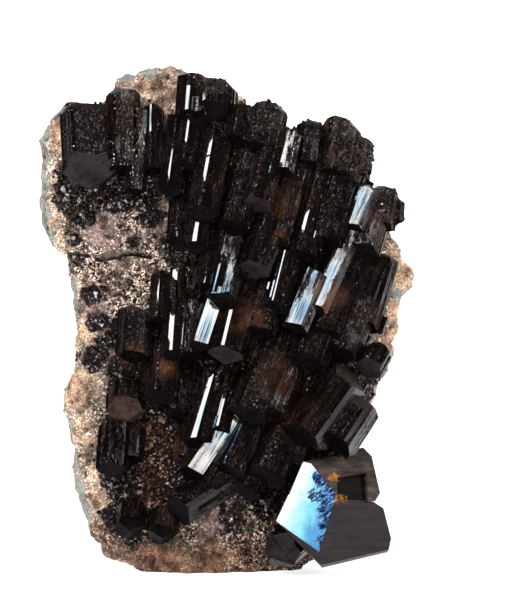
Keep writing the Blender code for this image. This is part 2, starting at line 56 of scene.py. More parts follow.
ROCK_CENTRE = (-1.0, 31.0)
ROCK_BACK = 12.5
ROCK_SQUARENESS = 3.6  # 2 is a round pebble, and higher is closer to a slab
ROCK_FACE_SHARE = 3.0  # spreads the mesh towards the front and back faces
ROCK_SUBDIVISIONS = 6
BARE_SPLITS = 2
SPLIT_UNTIL = 0.12  # how far back a face may point and still be split as part of the front
COVERED = 0.95  # the share of UNDER_CRYSTALS from which the front is left unsplit
BACK_LUMP = 1.8
BACK_LUMP_SIZE = 14.0
ROCK_BUMP = 1.1
ROCK_BUMP_SIZE = 4.5
NOISE_LAYERS = (1.0, 2.0, 3)  # how much each layer weakens and gets finer, and how many there are
RIM_BUMP_SHARE = 0.5  # how much of a bump moves the rock's outline
PARALLEL = 1e-9
SPOT_REACH = 4.5
FAR_PULL = 1e-5  # the pull of the front's spots that are out of reach
SPOT_HEIGHT = 1.6  # a soft-edged spot is whole in its middle, because its share is cut off at 1
SPOT_SLOPE = 1.3
REACHES_PER_DEGREE = 2
LEDGE = 0.9  # the rock above the crack on the left stands this much forward of the rock below it
LEDGE_HEIGHT = 41.4
LEDGE_WAVE = 0.35
LEDGE_WAVE_PITCH = 0.9
LEDGE_STEP = 1.2
LEDGE_TOP = 7.0
LEDGE_TOP_FADE = 5.0
LEDGE_END = -9.5
LEDGE_END_FADE = 3.0
KNOB_HEIGHT = 0.45
KNOB_SIZE = 2.4
GRAIN_HEIGHT = 0.5
GRAIN_MIDDLE = 0.45
GRAIN_SIZE = 0.8
RIM_CALM = 0.6
FINE_GRAIN_HEIGHT = 0.12
FINE_GRAIN_SIZE = 0.32
PIT_DEPTH = 0.7
PIT_SPACING = 1.5
PIT_WIDTH = 0.30
CRACK_DEPTH = 1.2
CRACK_WIDTH = 0.36
CRACK_WANDER = 0.3
CRACK_WANDER_PITCH = 1.3
# How far below the surface a dip must lie before it is darkened, and how fast it darkens: painted shade.
PIT_SHADE_FROM = 0.1
PIT_SHADE_GAIN = 2.2
FRONT_SHARE = 0.6  # the crust's share on the plane between the rock's front and back
FRONT_FADE = 3.0
SKIN_WANDER = 2.4
SKIN_WANDER_SIZE = 5.0
SKIN_FROM = -0.2
SKIN_FADE = 1.6
LOW_UNTIL = 9.0
LOW_FADE = 6.0

# The rock's outline from the front, anticlockwise from the lower left, as (across, up).
ROCK_OUTLINE = [
    (-10.5, -1.6), (-12.8, 0.7), (-15.9, 2.2), (-17.5, 5.5), (-19.2, 11.0), (-20.5, 18.0), (-21.0, 21.5),
    (-19.8, 26.0), (-19.1, 31.0), (-19.9, 36.5), (-20.6, 41.0), (-23.0, 42.6), (-24.1, 45.5), (-23.7, 48.5),
    (-24.2, 51.5), (-23.9, 54.0), (-24.4, 56.3), (-22.8, 58.8), (-20.4, 60.2), (-16.0, 61.0), (-14.3, 63.9),
    (-11.0, 64.6), (-7.0, 65.0), (-3.0, 63.6), (1.0, 62.4), (3.0, 60.6), (8.0, 58.2), (13.0, 57.0),
    (17.0, 54.6), (18.6, 50.5), (20.3, 45.6), (22.5, 42.4), (23.0, 39.5), (24.2, 38.5), (23.8, 36.8),
    (22.6, 35.3), (22.2, 31.6), (21.2, 28.6), (20.0, 25.0), (18.2, 20.0), (16.8, 15.0), (16.0, 8.0),
    (14.0, 3.6), (10.8, 1.0), (8.6, -1.4), (0.0, -2.2), (-6.0, -2.2),
]
# How far forward the rock's front face stands, as (across, up, forward).
ROCK_FRONT = [
    (-23.0, 50.0, 2.5), (-19.0, 57.0, 3.0), (-14.0, 62.0, 3.5), (-9.0, 61.5, 5.0), (-4.0, 62.0, 5.0),
    (5.0, 58.0, 5.5), (13.0, 55.0, 4.0), (18.0, 49.0, 3.0), (22.0, 40.0, 3.0), (20.0, 30.0, 4.0),
    (15.0, 40.0, 5.5), (8.0, 46.0, 7.5), (0.0, 50.0, 7.5), (-7.0, 47.0, 6.5), (-15.0, 46.0, 6.0),
    (-17.0, 38.0, 5.2), (-12.0, 36.0, 5.0), (-18.0, 28.0, 5.2), (-18.5, 20.0, 6.0), (-13.0, 25.0, 4.0),
    (-10.0, 18.0, 2.8), (-12.5, 10.0, 3.6), (-18.0, 12.0, 6.0), (-14.0, 3.0, 7.0), (-5.0, 2.5, 9.5),
    (2.0, 6.0, 8.5), (6.0, 2.0, 7.5), (-3.0, 20.0, 5.5), (0.0, 36.0, 7.5), (8.0, 32.0, 7.5),
    (12.0, 22.0, 6.0), (6.0, 13.0, 5.5), (13.0, 8.0, 3.0), (12.0, 2.5, 3.5), (-6.0, 10.0, 4.5),
]
# The flat breaks of the rock's back and rim, as a point (across, back, up) and the way the break faces.
ROCK_BREAKS = [
    ((0.0, 11.5, 47.0), (0.12, 0.95, 0.22)),
    ((2.0, 12.0, 14.0), (0.18, 0.95, -0.22)),
    ((-8.0, 11.5, 28.0), (-0.30, 0.95, 0.05)),
    ((18.0, 6.0, 34.0), (0.72, 0.68, 0.10)),
    ((-18.0, 7.5, 44.0), (-0.66, 0.74, 0.12)),
    ((-15.0, 8.0, 14.0), (-0.70, 0.68, -0.20)),
    ((4.0, 8.0, 58.0), (0.16, 0.55, 0.82)),
    ((12.0, 8.0, 7.0), (0.62, 0.62, -0.48)),
]
# Where a dark crust of druse covers the rock; under the top left block it is partly painted shade.
DARK_SPOTS = [
    (-19.5, 49.6, 3.4), (-15.5, 49.6, 2.8), (-10.5, 50.0, 3.6), (-19.3, 40.8, 1.2, 0.7), (-18.6, 46.9, 2.4),
    (-9.6, 46.6, 2.2, 0.9), (-19.8, 43.6, 1.3, 0.8), (-11.8, 43.2, 1.2, 0.7), (-13.4, 49.0, 2.6),
    (-20.8, 52.0, 1.6, 0.9), (-15.8, 30.0, 1.4, 0.8), (-17.3, 36.4, 1.9, 0.8), (-16.5, 32.6, 1.7, 0.8),
    (-17.0, 28.0, 2.3, 0.8), (-13.0, 31.0, 3.2, 0.9), (-12.5, 25.6, 4.0, 0.9), (-9.0, 21.0, 5.0),
    (-13.0, 16.5, 4.6), (-9.0, 14.5, 5.4), (-13.4, 11.4, 3.4, 0.8), (-12.6, 6.8, 3.8), (-9.6, 9.0, 4.0),
    (-8.0, 6.0, 2.8, 0.8), (1.6, 7.6, 3.4, 0.6), (5.4, 9.4, 3.0, 0.9), (19.4, 40.4, 1.8, 0.7),
    (19.6, 47.0, 3.0), (-5.0, 43.0, 4.0), (-7.5, 53.0, 3.4),
]
# Where the stone's grey outer skin shows at its edge.
SKIN_SPOTS = [
    (-25.2, 57.6, 2.9), (-25.2, 54.0, 2.7), (-25.2, 50.4, 2.7), (-24.9, 47.0, 2.6), (-24.2, 43.6, 2.4),
    (-21.9, 18.6, 2.3), (-21.2, 14.4, 2.5), (-20.3, 10.6, 2.4), (-19.0, 7.2, 2.0), (-20.8, 37.0, 1.6),
    (-10.0, 65.8, 1.8), (-13.0, 65.0, 1.5), (-22.4, 60.4, 1.8), (22.6, 36.0, 1.0),
]
# Where the crust in the hollow is rust red.
RED_SPOTS = [
    (-9.0, 17.5, 3.2), (-9.5, 13.0, 2.6), (-8.5, 9.0, 2.2, 0.9), (-7.6, 6.4, 2.0), (-10.8, 9.5, 2.0, 0.7),
    (-11.5, 27.0, 1.8, 0.7), (-6.5, 19.0, 1.6, 0.6),
]
# Where the rock is bare warm tan along its rim.
RIM_SPOTS = [
    (-23.0, 57.0, 3.4), (-23.2, 52.0, 3.0), (-23.0, 47.0, 3.2), (-21.8, 43.0, 2.6), (-19.4, 37.0, 2.2),
    (-19.0, 31.0, 2.4), (-20.0, 24.0, 3.6), (-19.6, 18.0, 3.4), (-18.0, 12.0, 3.4), (-16.8, 7.0, 3.4),
    (-13.5, 1.8, 3.4), (-7.0, 1.5, 4.0), (-1.0, 1.0, 3.4), (-9.0, 62.0, 4.6, 0.8), (-13.5, 64.0, 3.4, 0.9),
    (1.5, 61.6, 2.4), (9.0, 58.0, 1.6), (21.8, 41.0, 2.6), (23.6, 38.0, 2.6), (22.2, 33.0, 3.6),
    (20.0, 27.0, 3.0), (19.0, 22.0, 2.4),
]
# The part of the rock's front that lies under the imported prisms.
UNDER_CRYSTALS = [
    (0.0, 56.0, 6.0), (8.0, 54.0, 6.0), (15.0, 51.0, 5.5), (-3.0, 49.0, 5.5), (5.0, 47.0, 7.0),
    (13.0, 44.0, 6.5), (-3.0, 40.0, 5.0), (4.0, 38.0, 7.0), (12.0, 35.0, 7.5), (17.0, 35.0, 3.8),
    (-6.5, 33.0, 3.6), (-5.0, 25.0, 4.5), (2.0, 28.0, 7.0), (9.0, 26.0, 7.0), (15.5, 25.0, 5.0),
    (-2.0, 17.0, 5.0), (4.0, 18.0, 6.5), (11.0, 17.0, 6.5), (5.0, 12.5, 5.0), (12.0, 9.0, 6.5),
    (-3.5, 11.5, 3.2), (-14.0, 56.0, 6.5), (-10.0, 55.0, 3.5), (-2.0, 61.0, 3.6), (5.0, 58.5, 4.5),
    (-6.0, 21.0, 2.6), (-7.0, 27.0, 2.6),
]


def clamp(value):
    """A value held between 0 and 1."""
    return min(max(value, 0.0), 1.0)


def outline_reach(angle):
    """Distance from the rock's centre to its outline in one direction."""
    heading = (math.cos(angle), math.sin(angle))
    farthest = 0.0
    for start, end in zip(ROCK_OUTLINE, ROCK_OUTLINE[1:] + ROCK_OUTLINE[:1]):
        from_centre = (start[0] - ROCK_CENTRE[0], start[1] - ROCK_CENTRE[1])
        along = (end[0] - start[0], end[1] - start[1])
        cross = heading[0] * along[1] - heading[1] * along[0]
        if abs(cross) < PARALLEL:
            continue
        reach = (from_centre[0] * along[1] - from_centre[1] * along[0]) / cross
        share = (from_centre[0] * heading[1] - from_centre[1] * heading[0]) / cross
        if reach > 0.0 and 0.0 <= share <= 1.0:
            farthest = max(farthest, reach)
    return farthest


REACHES = [outline_reach(math.radians(step / REACHES_PER_DEGREE))
           for step in range(360 * REACHES_PER_DEGREE + 1)]


def crack_height(across):
    """How high the crack in the rock's left side runs."""
    return LEDGE_HEIGHT + LEDGE_WAVE * math.sin(across * LEDGE_WAVE_PITCH)


def ledge_share(across, up):
    """1 on the ledge above the crack, falling to 0 below it and towards the crystals."""
    above = clamp((up - crack_height(across)) / LEDGE_STEP + 0.5)
    fading_up = clamp((crack_height(across) + LEDGE_TOP - up) / LEDGE_TOP_FADE)
    fading_right = clamp((LEDGE_END - across) / LEDGE_END_FADE + 0.5)
    return above * fading_up * fading_right


def rock_forward(across, up):
    """How far forward the rock's front face stands at a place, blended from ROCK_FRONT."""
    total = 0.0
    weighed = 0.0
    for spot_x, spot_z, forward in ROCK_FRONT:
        distance = math.hypot(across - spot_x, up - spot_z)
        weight = math.exp(-((distance / SPOT_REACH) ** 2) / 2.0) + FAR_PULL / (1.0 + distance)
        total += weight
        weighed += weight * forward
    return weighed / total + LEDGE * ledge_share(across, up)


def spot_share(spots, across, up):
    """How much of the strongest soft-edged spot reaches a place."""
    share = 0.0
    for spot_across, spot_up, reach, *rest in spots:
        strength = rest[0] if rest else 1.0
        distance = math.hypot(across - spot_across, up - spot_up) / reach
        share = max(share, strength * clamp(SPOT_HEIGHT - SPOT_SLOPE * distance))
    return share


def line_share(lines, across, up):
    """How much of the nearest soft-edged line reaches a place."""
    share = 0.0
    for start_across, start_up, end_across, end_up, reach in lines:
        run = (end_across - start_across, end_up - start_up)
        offset = (across - start_across, up - start_up)
        part = clamp((offset[0] * run[0] + offset[1] * run[1]) / (run[0] ** 2 + run[1] ** 2))
        distance = math.hypot(offset[0] - run[0] * part, offset[1] - run[1] * part) / reach
        share = max(share, clamp(SPOT_HEIGHT - SPOT_SLOPE * distance))
    return share


def place_in_reaches(direction):
    """Where the way that a direction points, seen from the front, comes in REACHES."""
    return math.degrees(math.atan2(direction.z, direction.x) % math.tau) * REACHES_PER_DEGREE


def pressed_place(direction, outline):
    """Where a direction from the rock's centre ends, as across and up, and its share of the rock's depth."""
    angle = math.atan2(direction.z, direction.x) % math.tau
    flat = math.hypot(direction.x, direction.z)
    lift = abs(direction.y) * ROCK_FACE_SHARE
    swell = (flat ** ROCK_SQUARENESS + lift ** ROCK_SQUARENESS) ** (1.0 / ROCK_SQUARENESS)
    reach = outline * flat / swell
    return ROCK_CENTRE[0] + reach * math.cos(angle), ROCK_CENTRE[1] + reach * math.sin(angle), lift / swell


def bump_heading(direction):
    """The way that a bump stands out of the rock, mostly forward or back."""
    return Vector((direction.x * RIM_BUMP_SHARE, direction.y, direction.z * RIM_BUMP_SHARE)).normalized()


def rock_point(direction):
    """The point of the rock's surface in one direction from its centre, without its grain."""
    place_in_turn = place_in_reaches(direction)
    whole = min(int(place_in_turn), len(REACHES) - 2)
    part = place_in_turn - whole
    outline = REACHES[whole] * (1.0 - part) + REACHES[whole + 1] * part
    across, up, depth = pressed_place(direction, outline)
    if direction.y < 0.0:
        place = Vector((across, -rock_forward(across, up) * depth, up))
    else:
        lump = noise.noise(Vector((across, 0.0, up)) / BACK_LUMP_SIZE) * BACK_LUMP
        place = Vector((across, (ROCK_BACK + lump) * depth, up))
    for point, facing in ROCK_BREAKS:
        facing = Vector(facing).normalized()
        beyond = (place - Vector(point)).dot(facing)
        if beyond > 0.0:
            place -= facing * beyond
    bump = noise.fractal(place / ROCK_BUMP_SIZE, *NOISE_LAYERS)
    return place + bump_heading(direction) * bump * ROCK_BUMP


def grain_height(place):
    """Height of the rock's grains over its plain form, less its pits and its crack."""
    height = noise.fractal(place / KNOB_SIZE, *NOISE_LAYERS) * KNOB_HEIGHT
    bare = spot_share(RIM_SPOTS, place.x, place.z) if place.y < 0.0 else 1.0
    grain = GRAIN_MIDDLE - noise.voronoi(place / GRAIN_SIZE)[0][0]
    height += grain * GRAIN_HEIGHT * (1.0 - RIM_CALM * bare)
    height += noise.noise(place / FINE_GRAIN_SIZE) * FINE_GRAIN_HEIGHT
    nearest = noise.voronoi(place / PIT_SPACING)[0][0]
    if nearest < PIT_WIDTH:
        height -= PIT_DEPTH * (1.0 - nearest / PIT_WIDTH)
    wander = CRACK_WANDER * noise.noise(place * CRACK_WANDER_PITCH)
    off_crack = abs(place.z - crack_height(place.x) + wander) / CRACK_WIDTH
    if place.x < LEDGE_END and place.y < 0.0 and off_crack < 1.0:
        height -= CRACK_DEPTH * (1.0 - off_crack)
    return height


def split_faces(bm, everywhere):
    """Splits the rock's faces that show: the bare front, or the sides and back too."""
    chosen = set()
    for face in bm.faces:
        direction = face.calc_center_median().normalized()
        wanted = everywhere
        if direction.y < SPLIT_UNTIL:
            outline = REACHES[int(place_in_reaches(direction))]
            across, up = pressed_place(direction, outline)[:2]
            wanted = spot_share(UNDER_CRYSTALS, across, up) < COVERED
        if wanted:
            chosen.update(face.edges)
    bmesh.ops.subdivide_edges(bm, edges=list(chosen), cuts=1, use_grid_fill=True)


def cut_off(bm, point, outward):
    """Cuts away what lies beyond a plane, closes the cut, and returns the faces that close it."""
    geometry = bm.verts[:] + bm.edges[:] + bm.faces[:]
    cut = bmesh.ops.bisect_plane(bm, geom=geometry, plane_co=point, plane_no=outward, clear_outer=True)
    rim = [item for item in cut["geom_cut"] if isinstance(item, bmesh.types.BMEdge)]
    if not rim:
        return []
    return bmesh.ops.holes_fill(bm, edges=rim, sides=0)["faces"]


def mesh_in_metres(name, bm):
    """The mesh of a finished form that was built in millimetres."""
    bmesh.ops.scale(bm, vec=(MM, MM, MM), verts=bm.verts)
    mesh = bpy.data.meshes.new(name)
    bm.to_mesh(mesh)
    bm.free()
    return mesh


def hold_numbers(mesh, numbers):
    """Numbers at each point of a mesh, which materials and node trees read by name."""
    for name, values in numbers.items():
        mesh.attributes.new(name, "FLOAT", "POINT").data.foreach_set("value", values)


def finished_piece(name, mesh, slot, *nodes):
    """An object for a finished mesh, which moves with the specimen and stands for its CAD nodes."""
    piece = bpy.data.objects.new(name, mesh)
    bpy.context.scene.collection.objects.link(piece)
    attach(piece, "root")
    if nodes:
        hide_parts(*nodes)
    return piece


def set_inputs(tree, node, inputs):
    """Links each of a node's inputs to a socket, or sets it to a value."""
    for name, value in inputs.items():
        if isinstance(value, bpy.types.NodeSocket):
            tree.links.new(value, node.inputs[name])
        else:
            node.inputs[name].default_value = value


def place_node(tree, kind, inputs=None, **settings):
    """A node of a kind, with its settings and its inputs."""
    node = tree.nodes.new(kind)
    for name, value in settings.items():
        setattr(node, name, value)
    set_inputs(tree, node, inputs or {})
    return node


def calculated(tree, how, first, second):
    """The result of a Math node."""
    return place_node(tree, "ShaderNodeMath", {0: first, 1: second}, operation=how).outputs[0]


def plus(tree, first, second):
    """Two values added."""
    return calculated(tree, "ADD", first, second)


def minus(tree, first, second):
    """One value less another."""
    return calculated(tree, "SUBTRACT", first, second)


def times(tree, first, second):
    """Two values multiplied."""
    return calculated(tree, "MULTIPLY", first, second)


def swing(tree, value, amount):
    """How far a noise lies from its middle, multiplied by an amount."""
    return times(tree, minus(tree, value, 0.5), amount)


def ranged(tree, value, given, wanted=(0.0, 1.0)):
    """A value moved from one range to another, and held within it."""
    inputs = {"Value": value, "From Min": given[0], "From Max": given[1],
              "To Min": wanted[0], "To Max": wanted[1]}
    return place_node(tree, "ShaderNodeMapRange", inputs).outputs["Result"]


def graded(tree, factor, *stops):
    """A colour ramp's colour output, with its stops given as (position, (red, green, blue))."""
    ramp = place_node(tree, "ShaderNodeValToRGB", {"Fac": factor})
    elements = ramp.color_ramp.elements
    while len(elements) < len(stops):
        elements.new(0.5)
    for element, (position, color) in zip(elements, stops):
        element.position = position
        element.color = (*color, 1.0)
    return ramp.outputs["Color"]


def greys(tree, factor, *stops):
    """A ramp of greys, with its stops given as (position, grey)."""
    return graded(tree, factor, *((position, (grey, grey, grey)) for position, grey in stops))


def blended(tree, factor, first, second, how="MIX"):
    """Two colours mixed by a factor."""
    inputs = {0: factor, 6: first, 7: second}
    return place_node(tree, "ShaderNodeMix", inputs, data_type="RGBA", blend_type=how).outputs[2]


def object_place(tree):
    """The place on the piece that is being coloured."""
    return place_node(tree, "ShaderNodeTexCoord").outputs["Object"]


def stretched(tree, where, scale):
    """A place scaled apart from the others, so that what is drawn by it comes out stretched."""
    return place_node(tree, "ShaderNodeMapping", {"Vector": where, "Scale": scale}).outputs[0]


def noise_at(tree, where, scale, detail=4.0, roughness=0.55):
    """The value of a noise texture at a place, with the scale per metre."""
    inputs = {"Vector": where, "Scale": scale, "Detail": detail, "Roughness": roughness}
    return place_node(tree, "ShaderNodeTexNoise", inputs).outputs["Fac"]


def cells_at(tree, where, scale):
    """A random colour for each small cell of a surface."""
    return place_node(tree, "ShaderNodeTexVoronoi", {"Vector": where, "Scale": scale}).outputs["Color"]


def channel(tree, color, name):
    """The red, green or blue of a colour."""
    return place_node(tree, "ShaderNodeSeparateColor", {"Color": color}).outputs[name]


def attribute(tree, name):
    """A number that the mesh holds at its points."""
    return place_node(tree, "ShaderNodeAttribute", attribute_name=name).outputs["Fac"]


def bumped(tree, height, strength, distance, normal=None):
    """A normal tipped by a height, over another normal where one is given."""
    inputs = {"Height": height, "Strength": strength, "Distance": distance}
    if normal:
        inputs["Normal"] = normal
    return place_node(tree, "ShaderNodeBump", inputs).outputs["Normal"]


def new_material(name):
    """An empty node material and its tree."""
    material = bpy.data.materials.new(name)
    material.use_nodes = True
    return material, material.node_tree


def painted(material, inputs):
    """A material whose shader has been given its inputs."""
    set_inputs(material.node_tree, material.node_tree.nodes["Principled BSDF"], inputs)
    return material


def rhyolite_material():
    """Tan to pink granular stone with grey skin, pale specks, dark crust, and painted shade in dips and gaps.
    """
    material, tree = new_material("rhyolite")
    where = object_place(tree)
    broad = noise_at(tree, where, 160.0, 3.0)
    lumps = noise_at(tree, where, 300.0, 2.0)
    patch = noise_at(tree, where, 520.0, 5.0)
    fine = noise_at(tree, where, 5200.0, 3.0, 0.7)
    warp = place_node(tree, "ShaderNodeTexNoise", {"Vector": where, "Scale": 2600.0}).outputs["Color"]
    bent = place_node(tree, "ShaderNodeMix", {0: 0.0004, 4: where, 5: warp}, data_type="VECTOR").outputs[1]
    grain = channel(tree, cells_at(tree, bent, 4600.0), "Red")
    inner = graded(tree, broad, (0.32, (0.42, 0.31, 0.285)), (0.50, (0.48, 0.40, 0.36)),
                   (0.68, (0.54, 0.48, 0.41)))
    tan = graded(tree, broad, (0.30, (0.76, 0.50, 0.35)), (0.50, (0.80, 0.61, 0.47)),
                 (0.70, (0.84, 0.73, 0.62)))
    rim = attribute(tree, "rim")
    stone = blended(tree, rim, inner, tan)
    spread = graded(tree, grain, (0.0, (0.006, 0.003, 0.003)), (0.32, (0.04, 0.025, 0.025)),
                    (0.53, (0.58, 0.53, 0.51)), (0.76, (1.6, 1.55, 1.5)), (1.0, (3.8, 3.7, 3.65)))
    calm = minus(tree, 1.0, times(tree, rim, 0.50))
    grained = times(tree, calm, greys(tree, broad, (0.44, 0.35), (0.54, 1.0)))
    stone = blended(tree, grained, stone, spread, "MULTIPLY")
    mottled = graded(tree, patch, (0.36, (0.20, 0.16, 0.14)), (0.47, (0.88, 0.85, 0.83)),
                     (0.62, (1.4, 1.38, 1.34)))
    stone = blended(tree, 0.85, stone, mottled, "MULTIPLY")
    hue = graded(tree, lumps, (0.38, (1.06, 0.95, 0.92)), (0.50, (1.0, 0.98, 0.96)),
                 (0.62, (0.93, 0.95, 0.88)))
    stone = blended(tree, 0.8, stone, hue, "MULTIPLY")
    grit = graded(tree, fine, (0.36, (0.17, 0.14, 0.13)), (0.51, (1.0, 1.0, 1.0)), (0.68, (1.9, 1.9, 1.9)))
    stone = blended(tree, 0.85, stone, grit, "MULTIPLY")
    stone = blended(tree, attribute(tree, "low"), stone, (0.37, 0.30, 0.28, 1.0), "MULTIPLY")
    grey = graded(tree, fine, (0.38, (0.10, 0.10, 0.09)), (0.46, (0.38, 0.38, 0.34)),
                  (0.60, (0.66, 0.65, 0.59)))
    skinned = plus(tree, attribute(tree, "skin"), swing(tree, patch, 0.9))
    stone = blended(tree, greys(tree, skinned, (0.46, 0.0), (0.56, 1.0)), stone, grey)
    # The black crust's palest cells are partly painted glints.
    black_crust_with_glints = graded(tree, grain, (0.0, (0.002, 0.0012, 0.0012)), (0.62, (0.008, 0.004, 0.004)),
                         (0.84, (0.04, 0.026, 0.024)), (1.0, (0.46, 0.40, 0.40)))
    rusty_crust = graded(tree, grain, (0.0, (0.003, 0.0016, 0.001)), (0.50, (0.018, 0.007, 0.005)),
                         (0.80, (0.085, 0.032, 0.020)), (1.0, (0.40, 0.24, 0.18)))
    crust = blended(tree, attribute(tree, "red"), black_crust_with_glints, rusty_crust)
    # The dark crust: real druse, and painted shade in the gaps between and under the prisms.
    edge = plus(tree, attribute(tree, "dark"), swing(tree, patch, 1.6))
    crust_and_shade = greys(tree, edge, (0.38, 0.0), (0.54, 1.0))
    stone = blended(tree, crust_and_shade, stone, crust)
    # Dips, pits and the crack are painted near black by how far they sink: painted shade.
    stone = blended(tree, attribute(tree, "hollow"), stone, (0.022, 0.013, 0.010, 1.0))
    return painted(material, {
        "Base Color": stone, "Roughness": ranged(tree, crust_and_shade, (0.0, 1.0), (0.85, 0.45)),
        "Specular IOR Level": 0.14,
        "Normal": bumped(tree, plus(tree, grain, fine), 1.0, 0.0004),
    })


def build_rock():
    """The stone's mesh, with its dark crust, grey outer skin and the painted shade of its dips as numbers at
    its points.
    """
    bm = bmesh.new()
    bmesh.ops.create_icosphere(bm, subdivisions=ROCK_SUBDIVISIONS, radius=1.0)
    for split in range(BARE_SPLITS):
        split_faces(bm, everywhere=split == 0)
    hollow = bm.verts.layers.float.new("hollow")
    for vert in bm.verts:
        direction = vert.co.normalized()
        place = rock_point(direction)
        height = grain_height(place)
        # Dips, pits and the crack are darkened by how far they sink: painted shade.
        vert[hollow] = clamp(-height * PIT_SHADE_GAIN - PIT_SHADE_FROM)
        vert.co = place + bump_heading(direction) * height
    cut_off(bm, Vector((0.0, 0.0, 0.0)), Vector((0.0, 0.0, -1.0)))
    numbers = {"dark": [], "skin": [], "rim": [], "red": [], "low": []}
    for vert in bm.verts:
        across, back, up = vert.co
        front = clamp(FRONT_SHARE - back / FRONT_FADE)
        # Under the prisms the rock takes the dark crust, which there is partly painted shade in the gaps.
        crust_and_shade = max(spot_share(DARK_SPOTS, across, up), spot_share(UNDER_CRYSTALS, across, up))
        wander = SKIN_WANDER * noise.noise(vert.co / SKIN_WANDER_SIZE)
        numbers["dark"].append(crust_and_shade * front)
        numbers["skin"].append(max(clamp((back - SKIN_FROM + wander) / SKIN_FADE),
                                   spot_share(SKIN_SPOTS, across, up)))
        numbers["rim"].append(spot_share(RIM_SPOTS, across, up))
        numbers["red"].append(spot_share(RED_SPOTS, across, up) * front)
        numbers["low"].append(clamp((LOW_UNTIL - up) / LOW_FADE) * front)
    mesh = mesh_in_metres("matrix", bm)
    hold_numbers(mesh, numbers)
    mesh.materials.append(rhyolite_material())
    return mesh


rock = finished_piece("rhyolite_matrix", build_rock(), "rock", "matrix")

# The druse: a crust of tiny dark crystals on the rock, thickest in its dark patches and under the prisms.
# Each grain is a stubby six-sided crystal a third of a millimetre across, seated in the stone.

DRUSE_GRAIN = 0.17
DRUSE_SIZES = (0.5, 1.9)
DRUSE_PER_SQUARE_MM = 4.2
DRUSE_CROWDING = 2.5  # how steeply the grains thin out where the crust is less dark
DRUSE_LEAN = 0.9


def node_group(name, *numbers):
    """A Geometry Nodes tree, and its inputs: a surface, some named numbers and a seed."""
    tree = bpy.data.node_groups.new(name, "GeometryNodeTree")
    tree.interface.new_socket("Geometry", in_out="INPUT", socket_type="NodeSocketGeometry")
    for number in numbers:
        tree.interface.new_socket(number, in_out="INPUT", socket_type="NodeSocketFloat")
    tree.interface.new_socket("Seed", in_out="INPUT", socket_type="NodeSocketInt")
    tree.interface.new_socket("Geometry", in_out="OUTPUT", socket_type="NodeSocketGeometry")
    return tree, tree.nodes.new("NodeGroupInput").outputs


def random_number(tree, least, most, seed):
    """A random number for each point, between two others."""
    node = place_node(tree, "FunctionNodeRandomValue", {"Seed": seed}, data_type="FLOAT")
    limits = {socket.name: socket for socket in node.inputs if socket.type == "VALUE"}
    tree.links.new(least, limits["Min"])
    tree.links.new(most, limits["Max"])
    return next(socket for socket in node.outputs if socket.type == "VALUE")


def held(tree, name, kind="FLOAT"):
    """What the surface holds at its points under a name."""
    return place_node(tree, "GeometryNodeInputNamedAttribute", {"Name": name}, data_type=kind).outputs[0]


def six_sided(tree, top, bottom, depth, fill="NONE"):
    """A six-sided bar or cone, from the radii of its ends."""
    inputs = {"Vertices": 6, "Radius Top": top, "Radius Bottom": bottom, "Depth": depth}
    return place_node(tree, "GeometryNodeMeshCone", inputs, fill_type=fill).outputs["Mesh"]


def joined(tree, *parts):
    """Some meshes as one."""
    join = place_node(tree, "GeometryNodeJoinGeometry")
    for part in parts:
        tree.links.new(part, join.inputs[0])
    return join.outputs[0]


def scatter(tree, given, crowding, crystal, size, lean, upright=None):
    """Stands a crystal all over the tree's surface, leaning at random, and returns the Set Material node."""
    spots = place_node(tree, "GeometryNodeDistributePointsOnFaces",
                       {"Mesh": given["Geometry"], "Density": times(tree, crowding, given["Density"]),
                        "Seed": given["Seed"]})
    leaning = place_node(tree, "FunctionNodeRandomValue", data_type="FLOAT_VECTOR")
    leaning.inputs[0].default_value = (-lean, -lean, 0.0)
    leaning.inputs[1].default_value = (lean, lean, math.tau)
    turned = place_node(tree, "FunctionNodeRotateRotation",
                        {"Rotation": upright or spots.outputs["Rotation"], "Rotate By": leaning.outputs[0]},
                        rotation_space="LOCAL")
    placed = place_node(tree, "GeometryNodeInstanceOnPoints",
                        {"Points": spots.outputs["Points"], "Instance": crystal,
                         "Rotation": turned.outputs[0], "Scale": size})
    real = place_node(tree, "GeometryNodeRealizeInstances", {"Geometry": placed.outputs[0]})
    finished = place_node(tree, "GeometryNodeSetMaterial", {"Geometry": real.outputs[0]})
    tree.links.new(finished.outputs[0], tree.nodes.new("NodeGroupOutput").inputs["Geometry"])
    return finished


def druse_tree():
    """Scatters six-sided grains with low points over a surface, by its own number called dark."""
    tree, given = node_group("druse", "Grain", "Least", "Most", "Density")
    grain = given["Grain"]
    point = six_sided(tree, 0.0, grain, grain)
    lifted = place_node(tree, "ShaderNodeCombineXYZ", {"Z": grain}).outputs[0]
    point = place_node(tree, "GeometryNodeTransform", {"Geometry": point, "Translation": lifted}).outputs[0]
    crystal = joined(tree, six_sided(tree, grain, grain, grain), point)
    crowding = calculated(tree, "POWER", held(tree, "dark"), DRUSE_CROWDING)
    size = random_number(tree, given["Least"], given["Most"], 1)
    return tree, scatter(tree, given, crowding, crystal, size, DRUSE_LEAN)


def grown_mesh(tree, surface, values):
    """The plain mesh that a tree grows over a surface's mesh, with the tree's inputs set by name."""
    holder = bpy.data.objects.new("surface", surface)
    bpy.context.scene.collection.objects.link(holder)
    modifier = holder.modifiers.new("grown", "NODES")
    modifier.node_group = tree
    for socket in tree.interface.items_tree:
        if socket.in_out == "INPUT" and socket.name in values:
            modifier[socket.identifier] = values[socket.name]
    evaluated = holder.evaluated_get(bpy.context.evaluated_depsgraph_get())
    mesh = bpy.data.meshes.new_from_object(evaluated)
    bpy.data.objects.remove(holder, do_unlink=True)
    return mesh


def druse_on(surface, grain, per_square_mm, seed):
    """The mesh of the grains that grow over a surface."""
    return grown_mesh(druse_group, surface, {
        "Grain": grain * MM, "Least": DRUSE_SIZES[0], "Most": DRUSE_SIZES[1],
        "Density": per_square_mm / MM ** 2, "Seed": seed,
    })


